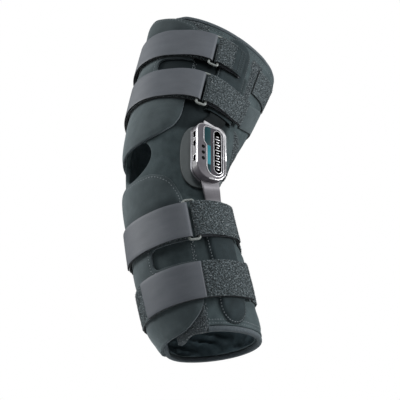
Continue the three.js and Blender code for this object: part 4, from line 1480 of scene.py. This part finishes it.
def inlay():
    piece = bmesh.new()
    gather(piece, raised(tall_outline(COVER_HALF_WIDTH, COVER_HALF_HEIGHT, INLAY_INSET), "base"), GREY)
    gather(piece, framed(outline(BEAD_CORNERS, BEAD_ROUNDS), "bead", BEAD_WIDTH, PANEL))
    # The painted highlight strip.
    gather(piece, raised(outline(HIGHLIGHT_STRIP_CORNERS, HIGHLIGHT_STRIP_ROUNDS), "trim"), BRIGHT)
    for index, corners, rounds in STRIPES:
        gather(piece, raised(outline(corners, rounds), "stripe"), index)
    for level in DOT_LEVELS:
        dot = bmesh.new()
        bmesh.ops.create_circle(dot, segments=DOT_SIDES, radius=DOT_RADIUS, cap_ends=True)
        bmesh.ops.translate(dot, vec=(DOT_PLACE, level, 0), verts=dot.verts)
        gather(piece, raised(dot, "dot"), BLACK)
    add_oval(piece)
    return piece


def add_oval(piece):
    """A plain black oval with a bright edge and grip ribs, long and short by turns."""
    corners = box_corners(OVAL_MIDDLE, OVAL_HALF_WIDTH, OVAL_HALF_HEIGHT)
    gather(piece, framed(outline(corners, [OVAL_ROUND] * 4), "oval", OVAL_BEAD, BLACK))
    reach = OVAL_HALF_HEIGHT - OVAL_HALF_WIDTH
    for number, level in enumerate(np.arange(-reach, reach + 0.1, RIB_PITCH)):
        half_width = RIB_HALF_WIDTH * (1 if number % 2 else RIB_SHORT)
        middle = (OVAL_MIDDLE[0], OVAL_MIDDLE[1] + level)
        rib = outline(box_corners(middle, half_width, RIB_HALF_HEIGHT), [RIB_ROUND] * 4)
        gather(piece, raised(rib, "rib"), BRIGHT)


hinge_part(inlay, "inlay_panel", INLAY_FINISHES, "inlay_plastic", "hinge_inlay", HINGE_SHARP)

# %% [markdown]
# ## Stitches
# Rows of thread hold the hems, flaps, pockets and strap ends. One stitch is a small stretched ball. It is
# copied along each row as one joined mesh, while flat, and then wrapped with the cloth that it holds.

# %% Stitch tools
STITCH_PITCH, STITCH_SIZE = 3.3, (2.0, 1.0, 0.9)
STITCH_SIDES, STITCH_RINGS = 6, 4


def one_stitch():
    bm = bmesh.new()
    bmesh.ops.create_uvsphere(bm, u_segments=STITCH_SIDES, v_segments=STITCH_RINGS, radius=0.5)
    bmesh.ops.rotate(bm, matrix=Matrix.Rotation(math.pi / 2, 3, "Y"), verts=bm.verts)
    bmesh.ops.scale(bm, vec=STITCH_SIZE, verts=bm.verts)
    bm.verts.index_update()
    shape = places_of(bm.verts), [[v.index for v in f.verts] for f in bm.faces]
    bm.free()
    return shape


STITCH_VERTS, STITCH_FACES = one_stitch()


def stitch_row(points, lift):
    """Flat places of the corners of each stitch along a row of (x, y) points."""
    points = np.array(points, float)
    steps = np.linalg.norm(np.diff(points, axis=0), axis=1)
    distance = np.concatenate([[0], np.cumsum(steps)])

    def spot(at):
        return np.stack([np.interp(at, distance, points[:, k]) for k in (0, 1)], axis=-1)

    at = np.arange(STITCH_PITCH / 2, distance[-1], STITCH_PITCH)
    heading = spot(at + 0.5) - spot(at - 0.5)
    heading /= np.linalg.norm(heading, axis=1)[:, None]
    aside = np.stack([-heading[:, 1], heading[:, 0]], axis=-1)
    spots = STITCH_VERTS[None, :, :1] * heading[:, None] + STITCH_VERTS[None, :, 1:2] * aside[:, None]
    flat = spots + spot(at)[:, None]
    height = np.broadcast_to(STITCH_VERTS[None, :, 2] + lift, flat.shape[:2])
    return np.concatenate([flat, height[..., None]], axis=-1).reshape(-1, 3)


def joined(name, corners, shape_faces, shape_count, material, slot):
    """One mesh from many copies of a small shape, whose corners are already in place."""
    copies = len(corners) // shape_count
    faces = [[k * shape_count + v for v in f] for k in range(copies) for f in shape_faces]
    mesh = bpy.data.meshes.new(name)
    mesh.from_pydata(corners.tolist(), [], faces)
    return show_mesh(mesh, name, [material], slot, sharp=180)


def sew(name, placed_rows, material):
    corners = np.concatenate(placed_rows)
    joined(name, corners, STITCH_FACES, len(STITCH_VERTS), material, "edge_tape")
    print(name, "stitches:", len(corners) // len(STITCH_VERTS))


print("corners of a stitch:", len(STITCH_VERTS))

# %% [markdown]
# The hems' rows lie in the grooves of the sleeve, near its rims. Where two panels meet there is a flat seam:
# a straight row with a zigzag across the joint.

# %% Hems and seams
SEAM_HALF, SEAM_PITCH, SEAM_PROUD = 1.5, 2.6, 0.1
SEAMS = [(62, -184, -158), (61, -117, -93), (82, -117, -93), (59, 98, 121), (63, 158, 176), (84, 99, 121)]
HEM_TURNS = range(36, 301, 2)


def sleeve_row(points):
    flat = stitch_row(points, 0.0)
    flat[:, 2] += sleeve_outside(flat[:, 0], flat[:, 1]) + SEAM_PROUD
    return wrapped(flat)


def flat_seam(turn, low, high):
    """A flat seam up the leg at one turn: a straight row, and a zigzag across the joint."""
    levels = np.arange(low, high, SEAM_PITCH)
    sides = turn + SEAM_HALF * np.where(np.arange(len(levels)) % 2, 1, -1)
    return [(turn - SEAM_HALF, low), (turn - SEAM_HALF, high)], list(zip(sides, levels))


hem_rows = [sleeve_row([(turn, level) for turn in HEM_TURNS]) for level in HEM_LINES]
seam_rows = [sleeve_row(row) for seam in SEAMS for row in flat_seam(*seam)]
sew("sleeve_stitches", hem_rows + seam_rows, THREAD)

# %% [markdown]
# A flap's row follows its outline at a set distance. A pocket's row runs up one side, round the tip and down
# the other, and a tab is sewn down with a small box.

# %% Flap, pocket and tab stitches
FLAP_INSET, FLAP_ROW_STEPS, FLAP_FEEL, FLAP_PROUD = 3.0, 420, 0.05, 0.25
FLAP_SEAM_INSET, FLAP_SEAM_LIFT = 4, 1.4
POCKET_INSET, POCKET_START, POCKET_PROUD, POCKET_ARC = 1.6, 2, 0.12, 25
TAB_INSET, TAB_CROSS_ROWS, TAB_ROW_FROM, TAB_PROUD = 2.5, (3, 7), 24, 0.35


def inside_edge(keep, start, inset, steps):
    """Follows an outline at a set distance inside it, by walking at right angles to its slope."""
    spot = np.array(start, float)[:, None]
    row = []
    for _ in range(steps):
        row.append(spot[:, 0])
        slope = np.array(slope_of(keep, *spot, FLAP_FEEL))
        steep = max(float(np.sum(slope**2)), FLATTEST)
        ahead = np.array((-slope[1], slope[0])) / math.sqrt(steep)
        spot = spot - (keep(*spot) - inset) / steep * slope + ahead
    return row


def flap_rows(flap):
    low, high = flap_ends(flap)
    start = (FLAP_SEAM + FLAP_INSET, low + FLAP_INSET)
    row = inside_edge(flap_outline(flap), start, FLAP_INSET, FLAP_ROW_STEPS)
    sewn = [(FLAP_SEAM + FLAP_SEAM_INSET, end) for end in (low + FLAP_SEAM_INSET, high - FLAP_SEAM_INSET)]
    lifts = FLAP_LIFT + FLAP_THICK + FLAP_PROUD, FLAP_LIFT + FLAP_SEAM_LIFT
    return [wrapped(stitch_row(points, lift)) for points, lift in zip((row, sewn), lifts)]


def pocket_row(pocket, side):
    half, tip = POCKET_HALF - POCKET_INSET, pocket["tip"]
    way = math.copysign(1, tip)
    straight, start = tip - way * POCKET_TIP, pocket["mouth"] + way * POCKET_START
    reach = way * (POCKET_TIP - POCKET_INSET)
    angles = np.linspace(0, math.pi, POCKET_ARC)
    arc = [(half * math.cos(a), straight + reach * math.sin(a)) for a in angles]
    row = [(half, start), *arc, (-half, start)]
    return pocket_places(pocket, stitch_row(row, POCKET_THICK + POCKET_PROUD), side)


def tab_rows(strap):
    path = strap["tab_path"]
    half, end = STRAP_WIDTH / 2 - TAB_INSET, path.length
    rows = [[(end - back, -half), (end - back, half)] for back in TAB_CROSS_ROWS]
    rows += [[(end - TAB_ROW_FROM, edge), (end - TAB_CROSS_ROWS[0], edge)] for edge in (-half, half)]
    return [path.lay(stitch_row(row, STRAP_THICK / 2 + TAB_PROUD)) for row in rows]


sew("flap_stitches", [row for flap in FLAPS for row in flap_rows(flap)], THREAD)
sew("pocket_stitches", [pocket_row(pocket, side) for pocket in POCKETS for _, side in SIDES], THREAD)
sew("tab_stitches", [row for strap in STRAPS for row in tab_rows(strap)], DARK_THREAD)

# %% [markdown]
# ## Loop pile
# Brushed loop tape is a field of tiny loops, and it is what the hook ends grip. Each loop is a narrow ribbon
# bent to an arch. Its size, direction and tone are random, from a fixed seed, so every run gives the same
# pile.

# %% Pile tools
LOOP_ANGLES = np.radians((0, 60, 120, 180))
LOOP_FACES = [(2 * k, 2 * k + 1, 2 * k + 3, 2 * k + 2) for k in range(len(LOOP_ANGLES) - 1)]
LOOP_CORNERS, LOOP_SINK = 2 * len(LOOP_ANGLES), 0.1
LOOP_SIZES, LOOP_HEIGHTS, LOOP_WIDTHS = (0.5, 1.3), (0.4, 1.15), (0.16, 0.3)
CLUMP, TONE, TONE_CLUMPED, TONE_LOOSE = 1.5, 0.38, 0.62, 0.3


def loops(spots, lift, dice):
    """Flat places of the corners of a small arched ribbon on each spot."""
    count = len(spots)
    heading = dice.uniform(0, 2 * math.pi, count)
    size, height, width = (dice.uniform(*span, count) for span in (LOOP_SIZES, LOOP_HEIGHTS, LOOP_WIDTHS))
    along = np.stack([np.cos(heading), np.sin(heading)], axis=-1)
    aside = np.stack([-along[:, 1], along[:, 0]], axis=-1)
    flat = np.zeros((count, len(LOOP_ANGLES), 2, 3))
    for k, angle in enumerate(LOOP_ANGLES):
        middle = spots - along * (size * math.cos(angle) / 2)[:, None]
        for edge, way in enumerate((-0.5, 0.5)):
            flat[:, k, edge, :2] = middle + aside * (way * width)[:, None]
            flat[:, k, edge, 2] = lift + height * math.sin(angle) - LOOP_SINK
    return flat.reshape(-1, 3)


def scatter(x_range, y_range, per_mm2, dice):
    count = int((x_range[1] - x_range[0]) * (y_range[1] - y_range[0]) * per_mm2)
    return np.stack([dice.uniform(*x_range, count), dice.uniform(*y_range, count)], axis=-1)


def grow(name, spots, corners, dice, slot):
    """One joined mesh of loops, toned in clumps as brushed pile is."""
    piece = joined(name, corners, LOOP_FACES, LOOP_CORNERS, FIBRE, slot)
    clumps = np.array([noise.noise((x / CLUMP, y / CLUMP, 0)) for x, y in spots])
    shade = np.clip(TONE + TONE_CLUMPED * clumps + TONE_LOOSE * dice.uniform(-1, 1, len(spots)), 0, 1)
    tone = piece.data.attributes.new("tone", "FLOAT", "POINT")
    tone.data.foreach_set("value", np.repeat(shade, LOOP_CORNERS).astype(np.float32))
    print(name, "loops:", len(spots))


print("faces of a loop:", len(LOOP_FACES))

# %% [markdown]
# A tab has pile on its outer face, from the fold on. A strap has it as far as its own free end, which covers
# the rest.

# %% Pile on the straps and tabs
TAB_LOOPS, BAND_LOOPS, PATCH_LOOPS = 1.7, 1.4, 1.6
PILE_SEED, PATCH_SEED = 100, 7
PILE_EDGE, FOLD_ROOM, FREE_ROOM = STRAP_WIDTH / 2 - 0.3, 1, 3


def first_pass(path, turn):
    """The distance along a path where its first run passes a turn."""
    bend = int(np.argmax(np.abs(path.turn - path.turn[0])))
    return float(np.interp(turn, path.turn[:bend], path.distance[:bend]))


for number, strap in enumerate(STRAPS):
    dice = np.random.default_rng(PILE_SEED + number)
    path, tab_path = strap["path"], strap["tab_path"]
    fold = tab_path.distance[int(np.argmin(tab_path.turn))]
    on_tab = fold + FOLD_ROOM, tab_path.length - strap["tab_plain"]
    on_band = strap["plain"], first_pass(path, strap["free"] + FREE_ROOM)
    fields = ("tab", tab_path, on_tab, TAB_LOOPS), ("band", path, on_band, BAND_LOOPS)
    for kind, course, reach, per_mm2 in fields:
        spots = scatter(reach, (-PILE_EDGE, PILE_EDGE), per_mm2, dice)
        tufts = course.lay(loops(spots, STRAP_THICK / 2, dice))
        grow(f"{strap['name']}_{kind}_pile_{strap['level']}", spots, tufts, dice, "loop_pile")

# %% [markdown]
# The brushed patches of the sleeve get loops too. They are scattered over each patch, thinned by its painted
# value, and left out where a strap or a flap covers the cloth.

# %% Pile on the sleeve's brushed patches
PATCH_SPOTS = [  # turns, along
    ((36, 67), (152, 182)),
    ((14, 62), (BOTTOM, -152)),
    ((110, 127), (156, 175)),
    ((112, 121), (97, 156)),
    ((118, 180), (14, 64)),
    ((-180, -118), (14, 64)),
]
BESIDE_TURNS, BESIDE_FROM = (103, 121), 97
EDGE_ROOM, FLAP_ROOM, STRAP_ROOM = 0.3, 0.6, 0.02
dice = np.random.default_rng(PATCH_SEED)
spots = np.concatenate([scatter(turns, along, PATCH_LOOPS, dice) for turns, along in PATCH_SPOTS])
x, y = spots.T
held = dice.uniform(0, 1, len(spots)) < brushed_patch(x, y)
on_sleeve = sleeve_outline(x, y) > EDGE_ROOM
beside_straps = (x > BESIDE_TURNS[0]) & (x < BESIDE_TURNS[1]) & (y > BESIDE_FROM)
free_of_straps = (between_straps(y) > STRAP_ROOM) | beside_straps
under_flaps = np.max([flap_outline(flap)(x, y) for flap in FLAPS], axis=0) > -FLAP_ROOM
spots = spots[held & on_sleeve & free_of_straps & ~under_flaps]
tufts = loops(spots, 0.0, dice)
tufts[:, 1] -= sag(tufts[:, 0], tufts[:, 1])
grow("sleeve_brushed_pile", spots, wrapped(tufts), dice, "neoprene")

# %% [markdown]
# ## Floor, light and camera
# The support is held up as a leg would hold it, so a plain pale floor lies well below it.

# %% Floor
FLOOR_LEVEL, FLOOR_HALF = -1.3, 1.2
floor_mesh = bmesh.new()
bmesh.ops.create_grid(floor_mesh, x_segments=2, y_segments=2, size=FLOOR_HALF)
bmesh.ops.translate(floor_mesh, vec=(0, 0, FLOOR_LEVEL), verts=floor_mesh.verts)
floor_data = bpy.data.meshes.new("floor")
floor_mesh.to_mesh(floor_data)
floor_mesh.free()
floor = bpy.data.objects.new("floor", floor_data)
floor_paint, _, _ = finish("floor_paint", "#f4f4f4", 0.9)
floor_data.materials.append(floor_paint)
bpy.context.scene.collection.objects.link(floor)
print("floor at %.1f m" % FLOOR_LEVEL)

# %% [markdown]
# One large soft light stands to the front left, a weaker one behind to the right and a small one to the
# front right. A pale sky fills the rest, white where the camera sees it.

# %% Light
SKY_SEEN, SKY_ABOVE, SKY_BELOW = 1.0, 0.33, 0.1
SKY_FROM, SKY_TO = -0.5, 0.6
LIGHTS = [  # name, place, size, power
    ("key_left", (-1.7, -2.2, 1.25), 1.2, 76),
    ("fill_right", (1.4, 1.3, 0.4), 0.8, 34),
    ("front_right", (1.3, -0.9, 0.9), 0.8, 12),
]


def sky():
    """White where the camera sees it; as light, pale above and dim below."""
    world = bpy.data.worlds.new("studio")
    world.use_nodes = True
    tree = world.node_tree
    tree.nodes.clear()
    up = node(tree, "SeparateXYZ", {"Vector": node(tree, "TexCoord").outputs["Generated"]}).outputs["Z"]
    limits = {"From Min": SKY_FROM, "From Max": SKY_TO, "To Min": SKY_BELOW, "To Max": SKY_ABOVE}
    soft = node(tree, "MapRange", {"Value": up, **limits}).outputs["Result"]
    seen = node(tree, "LightPath").outputs["Is Camera Ray"]
    strength = node(tree, "Mix", {"Factor": seen, "A": soft, "B": SKY_SEEN}).outputs["Result"]
    background = node(tree, "Background", {"Color": (1, 1, 1, 1), "Strength": strength})
    node(tree, "OutputWorld", {"Surface": background.outputs["Background"]})
    bpy.context.scene.world = world


def soft_light(name, place, size, power):
    lamp = bpy.data.lights.new(name, "AREA")
    lamp.shape = "DISK"
    lamp.size = size
    lamp.energy = power
    holder = bpy.data.objects.new(name, lamp)
    holder.location = place
    holder.rotation_euler = (-Vector(place)).to_track_quat("-Z", "Y").to_euler()
    bpy.context.scene.collection.objects.link(holder)


sky()
for light in LIGHTS:
    soft_light(*light)
view = bpy.context.scene.view_settings
view.view_transform = "Standard"
view.look = "None"
print("lights:", [light[0] for light in LIGHTS])

# %% [markdown]
# The camera looks up from low down on the outer front side, with a long lens. Its lens is given in pixels of
# the picture, and its shift is worked out from where the middle of the knee lies in it.

# %% Camera
CAMERA_TURN, CAMERA_RISE, CAMERA_ROLL = math.radians(59), math.radians(-30), math.radians(0.5)
CAMERA_AWAY = 1.34
LENS_PX, IMAGE_PX = 1230, 400
KNEE_PX = (176.8, 181.8)
SENSOR_MM = 36

back = Vector((
    math.sin(CAMERA_TURN) * math.cos(CAMERA_RISE),
    -math.cos(CAMERA_TURN) * math.cos(CAMERA_RISE),
    math.sin(CAMERA_RISE),
))
right = Vector((math.cos(CAMERA_TURN), math.sin(CAMERA_TURN), 0))
up = back.cross(right)
rolled_right = math.cos(CAMERA_ROLL) * right + math.sin(CAMERA_ROLL) * up
rolled_up = math.cos(CAMERA_ROLL) * up - math.sin(CAMERA_ROLL) * right
facing = Matrix((rolled_right, rolled_up, back)).transposed().to_4x4()
lens = bpy.data.cameras.new("camera")
lens.sensor_width = SENSOR_MM
lens.lens = LENS_PX * SENSOR_MM / IMAGE_PX
lens.shift_x = 0.5 - KNEE_PX[0] / IMAGE_PX
lens.shift_y = KNEE_PX[1] / IMAGE_PX - 0.5
camera = bpy.data.objects.new("camera", lens)
camera.matrix_world = Matrix.Translation(back * CAMERA_AWAY) @ facing
bpy.context.scene.collection.objects.link(camera)
bpy.context.scene.camera = camera
print("lens %.1f mm, shift %.3f %.3f" % (lens.lens, lens.shift_x, lens.shift_y))
